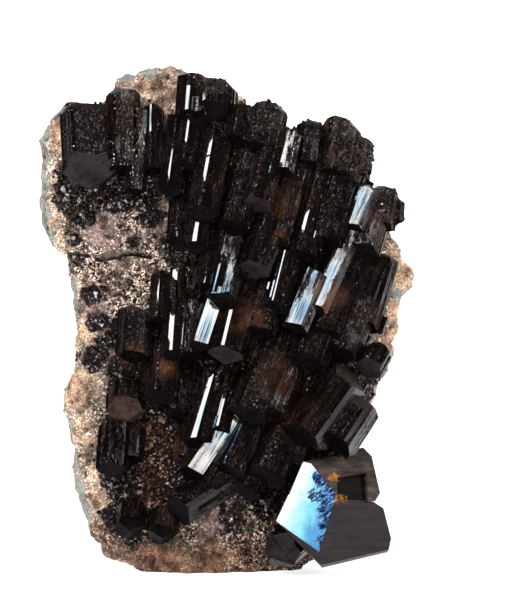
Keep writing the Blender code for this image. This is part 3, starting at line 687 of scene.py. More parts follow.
def druse_material(name, palest_with_glints):
    """Tiny glossy dark brown crystals, some reddish, and pale ones that are partly painted glints."""
    material, tree = new_material(name)
    pick = channel(tree, cells_at(tree, object_place(tree), 1500.0), "Green")
    # The palest cells are partly painted glints.
    plain = graded(tree, pick, (0.0, (0.0012, 0.0008, 0.0008)), (0.62, (0.004, 0.0026, 0.0024)),
                   (0.84, (0.035, 0.020, 0.018)), (1.0, palest_with_glints))
    rusty = graded(tree, pick, (0.0, (0.003, 0.0016, 0.001)), (0.50, (0.020, 0.007, 0.005)),
                   (0.80, (0.09, 0.030, 0.017)), (1.0, (0.30, 0.16, 0.10)))
    color = blended(tree, attribute(tree, "red"), plain, rusty)
    return painted(material, {"Base Color": color, "Roughness": 0.16, "Specular IOR Level": 0.3})


druse_group, druse_finish = druse_tree()
druse_finish.inputs["Material"].default_value = druse_material("druse", (0.60, 0.52, 0.52))
finished_piece("druse_crust", druse_on(rock.data, DRUSE_GRAIN, DRUSE_PER_SQUARE_MM, 4), "crystal")

# The prisms: near-black brown tourmaline, nine-sided, ribbed along their length where thin layers of growth
# ended, with three sloping faces at the free lower end. Each is built as a ribbed bar and cut to its tip.
# They grew from the rock and into one another, and their roots are buried in it.

# One prism. tip_* is the middle of its free lower end and top_* that of its upper end, seen from the
# front. proud is how far its axis stands off the rock at the tip, and tilt leans the tip forward.
# turn is the direction that one of its six wide faces looks in, from straight ahead round to the right.
# edge is the width of the narrow faces between them, front_face how much of the tip the face that looks
# forward takes, buried how far the prism goes on past its top under the crystals there, slope the angle of
# the tip's faces, and tip their look.
Prism = namedtuple("Prism", "tip_x tip_z top_x top_z proud width tilt turn edge front_face buried slope tip",
                   defaults=(0.5, 2.5, 27.0, "dark"))

# One rib of a prism, or one of its smooth narrow sides. start and end are its edges on the plain section,
# inset and far_inset how far they lie inside it, and jogs where and how much it steps in along the prism.
Rib = namedtuple("Rib", "start end inward inset far_inset jogs material")

SLOPE_SPREAD = 5.0
TIP_TURN_SPREAD = 18.0
WIDE_FACE_STEP = 60.0
NARROW_FACE_STEP = 120.0
SET_BACK = 1.08
CROWDING = 1.12  # how much wider a crystal is than what shows of it between its neighbours
COARSE_RIBS = (0.35, 1.3)
COARSE_LEVELS = (0.0, 0.0, 0.5, 1.0)
COARSE_DEPTH = 0.16
COARSE_DEPTH_SHARE = 0.09
FINE_RIBS = (0.09, 0.34)
FINE_DEPTH = 0.035
JOGS_PER_RIB = 2
JOG_LEVELS = (0.0, 0.3, 1.0)
RIB_SLANT = 0.05
BRIGHT_CALM = 0.8  # how much of its ribs' depth a prism with a bright side lacks
PATTERN_SHIFT = 50.0  # each prism takes its lines from another part of the pattern
ROW_STEP = 0.9
APEX_OFFSET = 0.3  # of the radius: how far the tip's apex lies past the middle of the lower end
TOP_LEAN_AHEAD = 0.15
TOP_LEAN_RIGHT = 0.1
TOP_CHIPS = 7
CHIP_TURN = 0.3
CHIP_STEEPNESS = (0.3, 1.1)
CHIP_PLACE = (0.25, 0.75)
LEAST_BURIED = 1.0  # a prism that goes on for more than this has no free top

# The thinner crystals grown along a prism's sides, by its radius or its length.
GROWTH_HEADING = (32.0, 118.0)
GROWTH_SIZE = (0.12, 0.42)
LEAST_GROWTH = 0.16
GROWTH_SINK = (0.35, 0.9)
GROWTH_FOOT = 0.7
GROWTH_HEAD = (0.02, 0.35)
GROWTH_CLEAR_OF_TOP = (1.1, 0.5)  # of a free top, and of a buried one
TURNED_GROWTHS = 0.35
TURNED_GROWTH_TURN = (12.0, 18.0)
GROWTH_TURN = (-5.0, 8.0)
GROWTH_EDGE = (0.08, 0.22)
GROWTH_FRONT_FACE = (0.3, 1.0)
GROWTH_SLOPE = 27.0
GROWTH_ROW_STEP = 2.4
GROWTHS_WITHOUT_BRIGHT = 0.95  # the share of its growths that a prism with a bright side lacks

# The looks of a crystal's faces, by their place in its list of materials.
SIDE = 0
SATIN_TIP = 1
BROKEN_TOP = 2
DARK_TIP = 3
BROWN_TIP = 4
NARROW_SIDE = 5
TIP_MATERIALS = {"satin": SATIN_TIP, "dark": DARK_TIP, "brown": BROWN_TIP}

# Where the sides are stained with rust.
STAIN_SPOTS = [
    (13.2, 36.5, 2.6), (2.6, 34.0, 2.4, 0.8), (7.6, 49.0, 2.2, 0.6), (-13.2, 60.0, 2.6, 0.4),
    (-7.6, 27.4, 1.6), (-8.0, 17.0, 2.6, 0.8), (14.0, 13.4, 0.55), (14.9, 10.5, 0.6), (13.5, 54.7, 1.2),
    (7.2, 44.2, 1.0, 0.9), (-4.6, 13.8, 1.2, 0.3), (6.5, 26.0, 3.0, 0.25), (9.0, 20.5, 3.0, 0.3),
    (-8.0, 6.4, 2.0, 0.8), (19.6, 33.0, 2.4, 0.5), (-11.6, 29.2, 1.6, 0.9), (20.6, 46.6, 2.2, 0.7),
    (16.8, 54.0, 1.6, 0.7),
]
# Where the crystals are etched rough.
ETCHED_SPOTS = [
    (-18.0, 57.5, 4.6, 0.7), (-13.3, 59.5, 3.4, 0.5), (14.2, 56.5, 3.0, 0.6), (17.6, 54.5, 3.0),
    (21.4, 48.0, 2.6, 0.9), (-11.8, 31.5, 3.4, 0.7), (-12.8, 23.0, 2.4, 0.4), (-8.0, 6.5, 2.4, 0.8),
    (5.5, 60.5, 2.8, 0.8), (18.8, 33.0, 3.0, 0.6), (-1.6, 64.4, 2.4, 0.8), (11.0, 58.4, 1.8, 0.8),
]
# Where a thin film on the crystals turns their glints blue.
BLUE_SPOTS = [
    (0.4, 18.4, 1.7), (-1.2, 16.2, 1.2, 0.9), (-0.2, 37.6, 2.6), (9.6, 34.8, 2.2, 0.9),
    (13.2, 38.6, 3.6, 0.8), (17.4, 48.2, 2.6), (10.8, 43.0, 1.8), (-2.8, 21.0, 2.6, 0.5),
    (-5.2, 61.4, 1.6, 0.8), (5.2, 41.0, 2.6, 0.5), (-1.8, 51.0, 1.6, 0.5), (-9.6, 59.5, 1.4, 0.8),
    (-2.6, 32.0, 2.4, 0.9),
]
# Where a tan crust covers the crystals.
COATED_SPOTS = [
    (18.4, 54.6, 2.2, 0.9), (13.6, 58.6, 1.4, 0.6), (7.4, 59.4, 1.5, 0.7), (20.0, 51.0, 1.6, 0.6),
    (16.6, 57.6, 1.4, 0.6), (20.6, 43.6, 1.4, 0.6), (-1.8, 64.6, 1.4, 0.6),
]
# Where the crystals mirror less.
DULL_SPOTS = [
    (12.8, 22.4, 5.0, 0.72), (17.4, 21.0, 3.4, 0.72), (-3.8, 10.4, 4.0, 0.70), (1.4, 43.4, 2.2, 1.2),
    (20.4, 43.6, 1.6, 0.6), (-13.4, 17.0, 4.0, 1.8), (8.0, 24.8, 1.8, 1.4), (20.0, 20.6, 2.4, 1.8),
    (20.6, 36.6, 2.0),
]
# Where the flat diamond-shaped end is broken and darkened by painted shade.
SHADED_SPOTS = [
    (13.4, 11.2, 2.2), (12.4, 13.0, 1.2), (13.3, 9.0, 1.5), (13.0, 7.2, 1.2), (12.5, 5.2, 1.1),
    (11.6, 11.0, 1.0, 0.8), (12.3, 7.9, 0.9, 0.7), (11.8, 5.4, 0.6, 0.6),
]
# Where the sides are smooth and mirror the main light, as (across, up, across, up, reach).
BRIGHT_LINES = [
    (-4.6, 12.8, 1.4, 19.8, 2.0), (-3.7, 17.4, -0.7, 27.0, 1.0), (-1.2, 19.3, -0.1, 22.4, 0.7),
    (-6.9, 31.7, -6.0, 39.3, 0.9), (-6.7, 28.8, -6.4, 31.2, 0.5), (-8.4, 36.2, -8.0, 38.4, 0.5),
    (-3.0, 30.0, -1.5, 35.8, 1.6), (-0.3, 30.5, 1.4, 35.6, 0.9), (-1.2, 37.2, -0.3, 40.2, 0.8),
    (-2.3, 37.5, -1.6, 39.6, 0.7), (-3.4, 43.6, -2.7, 47.1, 0.9), (-5.6, 43.2, -5.5, 44.8, 0.7),
    (-6.6, 52.0, -6.1, 55.2, 0.8), (-4.2, 54.9, -3.9, 56.2, 0.8), (-4.7, 57.2, -4.4, 58.6, 0.8),
    (-1.8, 52.1, -1.0, 56.0, 1.1), (-1.5, 47.3, -1.2, 49.0, 0.9), (-9.9, 58.4, -9.9, 61.0, 0.8),
    (-5.1, 60.0, -4.7, 62.6, 1.0), (-3.4, 61.6, -2.9, 64.0, 0.9), (2.2, 58.3, 2.7, 60.9, 0.9),
    (7.2, 54.0, 8.0, 57.6, 0.8), (4.4, 49.6, 5.9, 52.5, 0.6), (10.4, 45.6, 11.0, 47.0, 0.6),
    (10.1, 41.5, 11.3, 44.0, 0.8), (15.9, 45.6, 18.2, 50.0, 1.2), (17.5, 47.0, 18.9, 49.9, 0.8),
    (2.5, 40.2, 6.9, 47.5, 1.0), (5.9, 36.8, 8.0, 44.0, 0.9), (8.4, 32.6, 10.2, 35.6, 1.15),
    (11.6, 35.6, 14.4, 40.8, 0.95), (-9.9, 25.0, -9.9, 26.6, 0.6), (-7.2, 24.1, -7.1, 25.7, 0.6),
    (10.0, 18.4, 16.4, 26.6, 3.2), (15.6, 18.6, 19.0, 23.2, 0.9), (-6.4, 11.3, -3.8, 13.0, 0.5),
    (-7.2, 8.0, -1.8, 10.8, 0.9),
]
SPOTS_ON_CRYSTALS = {
    "stain": STAIN_SPOTS, "etched": ETCHED_SPOTS, "blue": BLUE_SPOTS,
    "coated": COATED_SPOTS, "dull": DULL_SPOTS, "shaded": SHADED_SPOTS,
}
GRAINED_ABOVE = 44.0
GRAINED_FROM = 0.5

# Filled as the crystals grow: how each prism runs, and the meshes on which grains are to grow.
ALONG_OF_PRISMS = []
GRAINED_MESHES = []


def section_sides(radius, turn, edge):
    """The sides of a prism's section as (start, end, narrow): six wide ones with three corners taken off."""
    truncation = radius * (1.0 + SET_BACK) / 2.0 / math.cos(math.radians(WIDE_FACE_STEP / 2.0))
    truncation -= edge / (2.0 * math.tan(math.radians(WIDE_FACE_STEP)))
    faces = []
    for side in range(6):
        distance = radius if side % 2 == 0 else radius * SET_BACK
        faces.append((turn + side * WIDE_FACE_STEP, distance, False))
    for side in range(3):
        faces.append((turn - WIDE_FACE_STEP / 2.0 + side * NARROW_FACE_STEP, truncation, True))
    faces.sort()
    corners = []
    for (angle, distance, _), (next_angle, next_distance, _) in zip(faces, faces[1:] + faces[:1]):
        this_way = math.radians(angle)
        next_way = math.radians(next_angle)
        determinant = math.sin(next_way - this_way)
        right = (next_distance * math.cos(this_way) - distance * math.cos(next_way)) / determinant
        ahead = (distance * math.sin(next_way) - next_distance * math.sin(this_way)) / determinant
        corners.append(Vector((right, ahead)))
    return [(corners[index - 1], corners[index], face[2]) for index, face in enumerate(faces)]


def ribs_of_section(sides, radius, uneven, chance):
    """The section's ribs in turn: a narrow side is one smooth rib, and a wide side many uneven ones."""
    coarse_depth = min(COARSE_DEPTH, radius * COARSE_DEPTH_SHARE) * uneven
    fine_depth = FINE_DEPTH * uneven
    ribs = []
    for start, end, narrow in sides:
        length = (end - start).length
        along = (end - start).normalized()
        inward = Vector((-along.y, along.x))
        if inward.dot(start) > 0.0:
            inward = -inward
        if narrow:
            ribs.append(Rib(start, end, inward, 0.0, 0.0, [], NARROW_SIDE))
            continue
        coarse_left = 0.0
        coarse = 0.0
        position = 0.0
        while position < length:
            if coarse_left <= 0.0:
                coarse_left = chance.uniform(*COARSE_RIBS)
                coarse = chance.choice(COARSE_LEVELS) * coarse_depth
            width = chance.uniform(*FINE_RIBS)
            following = length if length - position - width < FINE_RIBS[0] else position + width
            inset = coarse + chance.random() ** 2 * fine_depth
            slant = chance.uniform(-RIB_SLANT, RIB_SLANT) * width
            jogs = [(chance.random(), chance.choice(JOG_LEVELS) * fine_depth) for jog in range(JOGS_PER_RIB)]
            ribs.append(Rib(start + along * position, start + along * following, inward, inset, inset + slant,
                            jogs, SIDE))
            coarse_left -= following - position
            position = following
    return ribs


def prism_axes(prism):
    """The tip's and the top's place, and unit vectors along the prism, ahead of it and to its right."""
    tip_forward = rock_forward(prism.tip_x, prism.tip_z) + prism.proud
    span = math.hypot(prism.top_x - prism.tip_x, prism.top_z - prism.tip_z)
    drop = span * math.tan(math.radians(prism.tilt))
    tip = Vector((prism.tip_x, -tip_forward, prism.tip_z))
    top = Vector((prism.top_x, -tip_forward + drop, prism.top_z))
    along = (top - tip).normalized()
    top += along * prism.buried
    ahead = Vector((0.0, -1.0, 0.0))
    ahead = (ahead - along * ahead.dot(along)).normalized()
    right = along.cross(ahead)
    if right.x < 0.0:
        right = -right
    return tip, top, (along, ahead, right)


def ribbed_skin(bm, rings, ribs, length, shift):
    """The faces between a bar's rings, with their growth pattern laid round the bar and along it."""
    uv_layer = bm.loops.layers.uv.new("growth")
    around = [0.0]
    for first, second in zip(rings[0], rings[0][1:] + rings[0][:1]):
        around.append(around[-1] + (second.co - first.co).length)
    rows = len(rings) - 1
    count = len(rings[0])
    for row in range(rows):
        low = (row / rows) * length + shift
        high = ((row + 1) / rows) * length + shift
        for index in range(count):
            following = (index + 1) % count
            face = bm.faces.new((rings[row][index], rings[row][following],
                                 rings[row + 1][following], rings[row + 1][index]))
            if index % 2 == 0:
                face.material_index = ribs[index // 2].material
            places = ((around[index], low), (around[index + 1], low),
                      (around[index + 1], high), (around[index], high))
            for loop, (across, up) in zip(face.loops, places):
                loop[uv_layer].uv = ((across + shift) * MM, up * MM)
    bm.faces.new(reversed(rings[0]))
    bm.faces.new(rings[-1])
    bmesh.ops.recalc_face_normals(bm, faces=bm.faces)


def cut_faces(bm, point, outward, material_index):
    """Cuts away what lies beyond a plane, and gives the cut a look."""
    for face in cut_off(bm, point, outward):
        face.material_index = material_index


def ribbed_bar(tip, top, axes, radius, prism, chance, top_chips, row_step, end_look):
    """One crystal's mesh: a ribbed bar cut to a three-faced tip below and a broken top."""
    along, ahead, right = axes
    bm = bmesh.new()
    middle = (tip + top) / 2.0
    uneven = 1.0 - BRIGHT_CALM * line_share(BRIGHT_LINES, middle.x, middle.z)
    ribs = ribs_of_section(section_sides(radius, prism.turn, prism.edge), radius, uneven, chance)
    length = (top - tip).length + 2.0 * radius
    start = tip - along * radius
    rows = max(int(length / row_step), 2)
    rings = []
    for row in range(rows + 1):
        share = row / rows
        centre = start + along * length * share
        ring = []
        for rib in ribs:
            more = sum(amount for break_at, amount in rib.jogs if share > break_at)
            for spot, amount in ((rib.start, rib.inset + more), (rib.end, rib.far_inset + more)):
                spot = spot + rib.inward * max(amount, 0.0)
                ring.append(bm.verts.new(centre + right * spot.x + ahead * spot.y))
        rings.append(ring)
    ribbed_skin(bm, rings, ribs, length, chance.uniform(0.0, PATTERN_SHIFT))
    apex = tip - ahead * radius * (prism.front_face - APEX_OFFSET) - along * radius * APEX_OFFSET
    twist = chance.uniform(-TIP_TURN_SPREAD, TIP_TURN_SPREAD)
    for side_turn in (0.0, NARROW_FACE_STEP, -NARROW_FACE_STEP):
        slope = math.radians(prism.slope + chance.uniform(-SLOPE_SPREAD, SLOPE_SPREAD))
        heading = math.radians(side_turn + twist)
        sideways = ahead * math.cos(heading) + right * math.sin(heading)
        cut_faces(bm, apex, -along * math.cos(slope) + sideways * math.sin(slope), end_look)
    cut_faces(bm, top, along + ahead * TOP_LEAN_AHEAD + right * TOP_LEAN_RIGHT, BROKEN_TOP)
    for chip in range(top_chips):
        heading = math.tau * (chip + chance.uniform(-CHIP_TURN, CHIP_TURN)) / top_chips
        sideways = ahead * math.cos(heading) + right * math.sin(heading)
        steep = chance.uniform(*CHIP_STEEPNESS)
        corner = top + sideways * radius * chance.uniform(*CHIP_PLACE)
        cut_faces(bm, corner, along + sideways * steep, BROKEN_TOP)
    return bm


def gather(cluster, bm):
    """Adds one crystal's mesh to its cluster's."""
    part = bpy.data.meshes.new("part of cluster")
    bm.to_mesh(part)
    bm.free()
    cluster.from_mesh(part)
    bpy.data.meshes.remove(part)


def grow_side_crystal(cluster, prism, tip, top, axes, radius, chance):
    """A thinner crystal along a prism's side, unless it would come out too short."""
    along, ahead, right = axes
    length = (top - tip).length
    side = chance.choice((-1.0, 1.0))
    heading = math.radians(side * chance.uniform(*GROWTH_HEADING))
    small = max(radius * chance.uniform(*GROWTH_SIZE), LEAST_GROWTH)
    outward = right * math.sin(heading) + ahead * math.cos(heading)
    offset = outward * (radius - small * chance.uniform(*GROWTH_SINK))
    foot = tip + offset + along * (length * chance.random() ** 2 * GROWTH_FOOT + small)
    clear_of_top = radius * GROWTH_CLEAR_OF_TOP[prism.buried > LEAST_BURIED]
    head = top + offset - along * (length * chance.uniform(*GROWTH_HEAD) + clear_of_top)
    if (head - foot).dot(along) < small * 2.0:
        return
    turn = chance.uniform(*(TURNED_GROWTH_TURN if chance.random() < TURNED_GROWTHS else GROWTH_TURN))
    growth = prism._replace(turn=turn, edge=chance.uniform(*GROWTH_EDGE),
                            front_face=chance.uniform(*GROWTH_FRONT_FACE), slope=GROWTH_SLOPE)
    gather(cluster, ribbed_bar(foot, head, axes, small, growth, chance, 1, GROWTH_ROW_STEP, DARK_TIP))


def grow_prism(cluster, prism, chance, side_growths):
    """One crystal of a cluster, with thinner ones grown along its sides that end in steps."""
    tip, top, axes = prism_axes(prism)
    middle = (tip + top) / 2.0
    ALONG_OF_PRISMS.append((middle, axes[0]))
    radius = prism.width * CROWDING / 2.0
    top_chips = 0 if prism.buried > LEAST_BURIED else TOP_CHIPS
    end_look = TIP_MATERIALS[prism.tip]
    gather(cluster, ribbed_bar(tip, top, axes, radius, prism, chance, top_chips, ROW_STEP, end_look))
    growth_share = 1.0 - GROWTHS_WITHOUT_BRIGHT * line_share(BRIGHT_LINES, middle.x, middle.z)
    for growth in range(round(side_growths * growth_share)):
        grow_side_crystal(cluster, prism, tip, top, axes, radius, chance)


def growth_place(tree):
    """The place round a prism and along it, as its pattern was laid."""
    return place_node(tree, "ShaderNodeUVMap", uv_map="growth").outputs["UV"]


def vector_math(tree, how, inputs, result="Vector"):
    """The result of a Vector Math node."""
    return place_node(tree, "ShaderNodeVectorMath", inputs, operation=how).outputs[result]


def facet_normal(tree, cells, strength):
    """A normal that is tipped a random way in each small cell, like a surface of tiny facets."""
    centred = vector_math(tree, "SUBTRACT", {0: cells, 1: (0.5, 0.5, 0.5)})
    scaled = vector_math(tree, "SCALE", {0: centred, "Scale": strength})
    normal = place_node(tree, "ShaderNodeNewGeometry").outputs["Normal"]
    return vector_math(tree, "NORMALIZE", {0: vector_math(tree, "ADD", {0: normal, 1: scaled})})


def film_tint(tree, straight):
    """White, or blue where a thin film on the crystals colours their glints, in stripes along them."""
    stripes = noise_at(tree, straight, 2600.0, 2.0)
    film = graded(tree, stripes, (0.42, (1.0, 1.0, 1.0)), (0.50, (0.62, 0.90, 1.0)),
                  (0.57, (0.20, 0.48, 0.88)), (0.66, (0.40, 0.66, 0.92)))
    ribs = noise_at(tree, straight, 5200.0, 2.0, 0.6)
    between = graded(tree, ribs, (0.42, (0.04, 0.04, 0.05)), (0.47, (1.0, 1.0, 1.0)))
    film = blended(tree, 1.0, film, between, "MULTIPLY")
    return blended(tree, attribute(tree, "blue"), (1.0, 1.0, 1.0, 1.0), film)


def glints(tree, where, rough_share, tint):
    """The tint and the normal of a face whose rough share is tiny facets, of which only a few glint."""
    cells = cells_at(tree, where, 7600.0)
    few = graded(tree, channel(tree, cells, "Blue"), (0.80, (0.08, 0.06, 0.06)), (0.88, (1.0, 1.0, 1.0)))
    dulled = greys(tree, rough_share, (0.12, 0.0), (0.40, 1.0))
    tint = blended(tree, dulled, tint, blended(tree, 1.0, tint, few, "MULTIPLY"))
    tint = blended(tree, attribute(tree, "dull"), tint, (0.20, 0.18, 0.20, 1.0), "MULTIPLY")
    return tint, facet_normal(tree, cells, plus(tree, 0.03, times(tree, rough_share, 0.60)))


def tourmaline_material():
    """Near-black glassy crystal: lines along its length, rusty stains, etched places with partly painted
    glints.
    """
    material, tree = new_material("tourmaline_sides")
    growth = growth_place(tree)
    where = object_place(tree)
    straight = stretched(tree, growth, (1.0, 0.02, 1.0))
    streaked = stretched(tree, growth, (1.0, 0.22, 1.0))
    dashed = stretched(tree, growth, (1.0, 0.5, 1.0))
    lines = noise_at(tree, straight, 7000.0, 3.0, 0.7)
    bands = noise_at(tree, straight, 1300.0, 2.0)
    patches = noise_at(tree, streaked, 1200.0, 4.0, 0.65)
    dashes = noise_at(tree, dashed, 6400.0, 3.0, 0.75)
    cloud = noise_at(tree, where, 350.0, 4.0)
    pits = noise_at(tree, where, 3400.0, 4.0, 0.7)
    specks = noise_at(tree, where, 6500.0, 2.0, 0.7)
    stain = attribute(tree, "stain")
    etched = attribute(tree, "etched")
    bright = attribute(tree, "bright")
    body = graded(tree, bands, (0.30, (0.0006, 0.0004, 0.0004)), (0.55, (0.0026, 0.0015, 0.0015)),
                  (0.75, (0.010, 0.0052, 0.0046)))
    rust = graded(tree, lines, (0.35, (0.024, 0.009, 0.004)), (0.55, (0.085, 0.031, 0.012)),
                  (0.72, (0.24, 0.11, 0.05)))
    body = blended(tree, times(tree, stain, greys(tree, cloud, (0.40, 0.1), (0.62, 1.0))), body, rust)
    patchy = greys(tree, patches, (0.46, 0.0), (0.55, 1.0))
    speck = greys(tree, specks, (0.58, 0.0), (0.68, 1.0))
    speckled = times(tree, speck, plus(tree, 0.05, times(tree, patchy, 0.40)))
    body = blended(tree, speckled, body, (0.16, 0.105, 0.095, 1.0))
    # The etched places' palest pits are partly painted glints.
    weathered_with_glints = graded(tree, pits, (0.44, (0.0012, 0.0007, 0.0007)), (0.58, (0.007, 0.0032, 0.0032)),
                       (0.66, (0.035, 0.017, 0.017)), (0.76, (0.26, 0.19, 0.19)))
    body = blended(tree, times(tree, etched, 0.9), body, weathered_with_glints)
    crust = graded(tree, pits, (0.38, (0.008, 0.005, 0.004)), (0.50, (0.05, 0.032, 0.025)),
                   (0.66, (0.20, 0.14, 0.11)))
    coat = times(tree, attribute(tree, "coated"), greys(tree, cloud, (0.40, 0.3), (0.56, 1.0)))
    body = blended(tree, coat, body, crust)
    gloss = ranged(tree, bands, (0.3, 0.7), (0.07, 0.15))
    not_bright = minus(tree, 1.0, bright)
    stained = times(tree, times(tree, stain, 0.2), not_bright)
    rough_share = calculated(tree, "MAXIMUM", times(tree, patchy, not_bright), etched)
    tint, normal = glints(tree, dashed, rough_share, film_tint(tree, straight))
    streaky = greys(tree, cloud, (0.44, 0.26), (0.56, 0.62))
    lined = times(tree, streaky, minus(tree, 1.0, times(tree, bright, 0.86)))
    normal = bumped(tree, lines, lined, 0.00004, normal)
    normal = bumped(tree, dashes, lined, 0.00004, normal)
    normal = bumped(tree, pits, etched, 0.0003, normal)
    return painted(material, {
        "Base Color": body, "Roughness": plus(tree, gloss, stained), "IOR": 1.62,
        "Specular Tint": tint, "Normal": normal,
    })


def narrow_side_material():
    """The narrow sides between the ribbed ones: smooth and glassy, cracked across in a few places."""
    material, tree = new_material("tourmaline_narrow_sides")
    growth = growth_place(tree)
    cracks = noise_at(tree, stretched(tree, growth, (0.5, 1.0, 1.0)), 800.0, 3.0, 0.6)
    broken = greys(tree, cracks, (0.34, 0.6), (0.37, 0.0))
    unlit = greys(tree, attribute(tree, "bright"), (0.30, 0.7), (0.50, 0.0))
    rough_share = calculated(tree, "MAXIMUM", attribute(tree, "etched"), unlit)
    rough_share = calculated(tree, "MAXIMUM", broken, rough_share)
    film = film_tint(tree, stretched(tree, growth, (1.0, 0.02, 1.0)))
    tint, normal = glints(tree, growth, rough_share, film)
    return painted(material, {
        "Base Color": (0.0025, 0.0016, 0.0016, 1.0), "Roughness": 0.09, "IOR": 1.66,
        "Specular Tint": tint, "Normal": normal,
    })


def tip_material(name, low, high, roughness, sheen):
    """An end face, faintly clouded, with its own share of mirror light."""
    material, tree = new_material(name)
    where = object_place(tree)
    cloud = noise_at(tree, where, 1400.0, 5.0, 0.65)
    specks = noise_at(tree, where, 5200.0, 3.0, 0.7)
    lustre = noise_at(tree, where, 420.0, 3.0)
    color = graded(tree, cloud, (0.35, low), (0.62, high))
    color = blended(tree, greys(tree, specks, (0.62, 0.0), (0.72, 0.5)), color, (0.06, 0.042, 0.042, 1.0))
    facets = facet_normal(tree, cells_at(tree, where, 3000.0), 0.12)
    return painted(material, {
        "Base Color": color, "Roughness": roughness, "Specular IOR Level": sheen,
        "Specular Tint": graded(tree, lustre, (0.38, (0.12, 0.10, 0.12)), (0.62, (1.0, 0.97, 1.0))),
        "Normal": bumped(tree, cloud, 0.3, 0.0001, facets),
    })


def broken_material():
    """The rough dull brown breaks at the prisms' upper ends."""
    material, tree = new_material("tourmaline_breaks")
    grain = noise_at(tree, object_place(tree), 1800.0, 5.0, 0.7)
    color = graded(tree, grain, (0.35, (0.004, 0.003, 0.0025)), (0.60, (0.018, 0.012, 0.010)),
                   (0.75, (0.13, 0.10, 0.088)))
    return painted(material, {
        "Base Color": color, "Roughness": 0.35, "Specular IOR Level": 0.25,
        "Normal": bumped(tree, grain, 0.9, 0.0003),
    })


TOURMALINE = {
    SIDE: tourmaline_material(),
    SATIN_TIP: tip_material("satin_ends", (0.0060, 0.0036, 0.0042), (0.014, 0.0090, 0.0105), 0.30, 0.17),
    BROKEN_TOP: broken_material(),
    DARK_TIP: tip_material("dark_ends", (0.0006, 0.0004, 0.0005), (0.0032, 0.0020, 0.0022), 0.22, 0.03),
    BROWN_TIP: tip_material("brown_ends", (0.014, 0.008, 0.006), (0.048, 0.027, 0.019), 0.4, 0.16),
    NARROW_SIDE: narrow_side_material(),
}


def crystal_piece(node, bm):
    """The piece for a finished crystal mesh in millimetres, with its rusty, etched and bright places."""
    numbers = {}
    for name, spots in SPOTS_ON_CRYSTALS.items():
        numbers[name] = [spot_share(spots, vert.co.x, vert.co.z) for vert in bm.verts]
    numbers["bright"] = [line_share(BRIGHT_LINES, vert.co.x, vert.co.z) for vert in bm.verts]
    ends = {vert for face in bm.faces if face.material_index in TIP_MATERIALS.values() for vert in face.verts}
    grained = [share if vert.co.z > GRAINED_ABOVE and vert not in ends else 0.0
               for vert, share in zip(bm.verts, numbers["etched"])]
    mesh = mesh_in_metres(node, bm)
    hold_numbers(mesh, numbers)
    for index in sorted(TOURMALINE):
        mesh.materials.append(TOURMALINE[index])
    if max(grained) > GRAINED_FROM:
        GRAINED_MESHES.append((mesh, grained))
    return finished_piece("tourmaline_" + node, mesh, "crystal", node)


def cluster_piece(node, prisms, seed, side_growths=8):
    """The piece for one cluster of crystals."""
    chance = random.Random(seed)
    cluster = bmesh.new()
    for prism in prisms:
        grow_prism(cluster, prism, chance, side_growths)
    return crystal_piece(node, cluster)

# The lower centre prisms: long black bars that lean to the right and end in the brightest face of all, with
# one lying across under their ends. They are tourmaline, rooted in the rock above the middle of its base.

cluster_piece("lower_centre_prisms", [
    Prism(-4.1, 12.8, 1.4, 20.8, 4.8, 3.3, 16.0, -16.0, 0.3, 0.9),
    Prism(-3.7, 16.8, -0.6, 27.8, 4.2, 3.4, 19.0, 14.0, 0.7),
    Prism(-0.8, 18.3, 1.5, 27.5, 3.6, 2.6, 20.0, 16.0, 0.28),
    Prism(-4.8, 14.6, -4.2, 20.0, 3.8, 3.0, 26.0, 4.0, 0.25, 0.9, tip="satin"),
    Prism(-6.4, 8.6, 0.6, 12.9, 4.4, 3.8, 18.0, 38.0, 0.7),
    Prism(0.6, 13.4, 4.2, 21.0, 3.4, 3.8, 20.0, 2.0, 0.3),
], seed=11)

# The striated block: the thick stepped crystal in the lower middle, two bars of black tourmaline grown side
# by side. It is rooted in the rock behind.

cluster_piece("striated_block", [
    Prism(2.8, 20.6, 7.4, 31.2, 4.8, 4.4, 18.0, 2.0, 0.35),
    Prism(5.9, 20.8, 9.4, 29.8, 4.0, 3.8, 18.0, -4.0, 0.35),
], seed=12)

# The right edge crystal: a short bar of tourmaline with a dull grey end. It stands alone, seated at the
# rock's right edge.

cluster_piece("right_edge_crystal", [
    Prism(18.4, 26.6, 20.3, 29.6, 4.2, 2.9, 28.0, 2.0, 0.35, 0.9, 0.0, tip="satin"),
], seed=13, side_growths=0)

# The lower right prisms: two large smooth dark bars of tourmaline that lean far to the right. They are
# rooted in the rock above the diamond-ended crystal.

cluster_piece("lower_right_prisms", [
    Prism(9.8, 17.8, 16.0, 26.2, 4.6, 5.2, 15.0, 60.0, 0.8, 0.5, 0.4),
    Prism(13.8, 17.0, 17.8, 23.0, 3.4, 4.8, 15.0, 60.0, 1.1, 0.5, 0.0),
], seed=14)

# The prisms in shadow above the diamond end: dark bars of tourmaline packed under the striated block. They
# are rooted in the rock between it and the lower centre prisms.

cluster_piece("lower_shadow_prisms", [
    Prism(5.2, 12.4, 9.0, 20.6, 3.6, 4.4, 18.0, 4.0, 0.35),
    Prism(7.6, 13.8, 10.6, 20.0, 2.8, 3.8, 18.0, 4.0, 0.35),
    Prism(3.0, 10.4, 6.0, 16.0, 2.6, 3.2, 22.0, 2.0, 0.3),
], seed=15)

# The middle right prisms: steeply leaning bars of tourmaline with bright sides, and rusty ones behind. They
# grew into one another, and are rooted in the rock's right side.

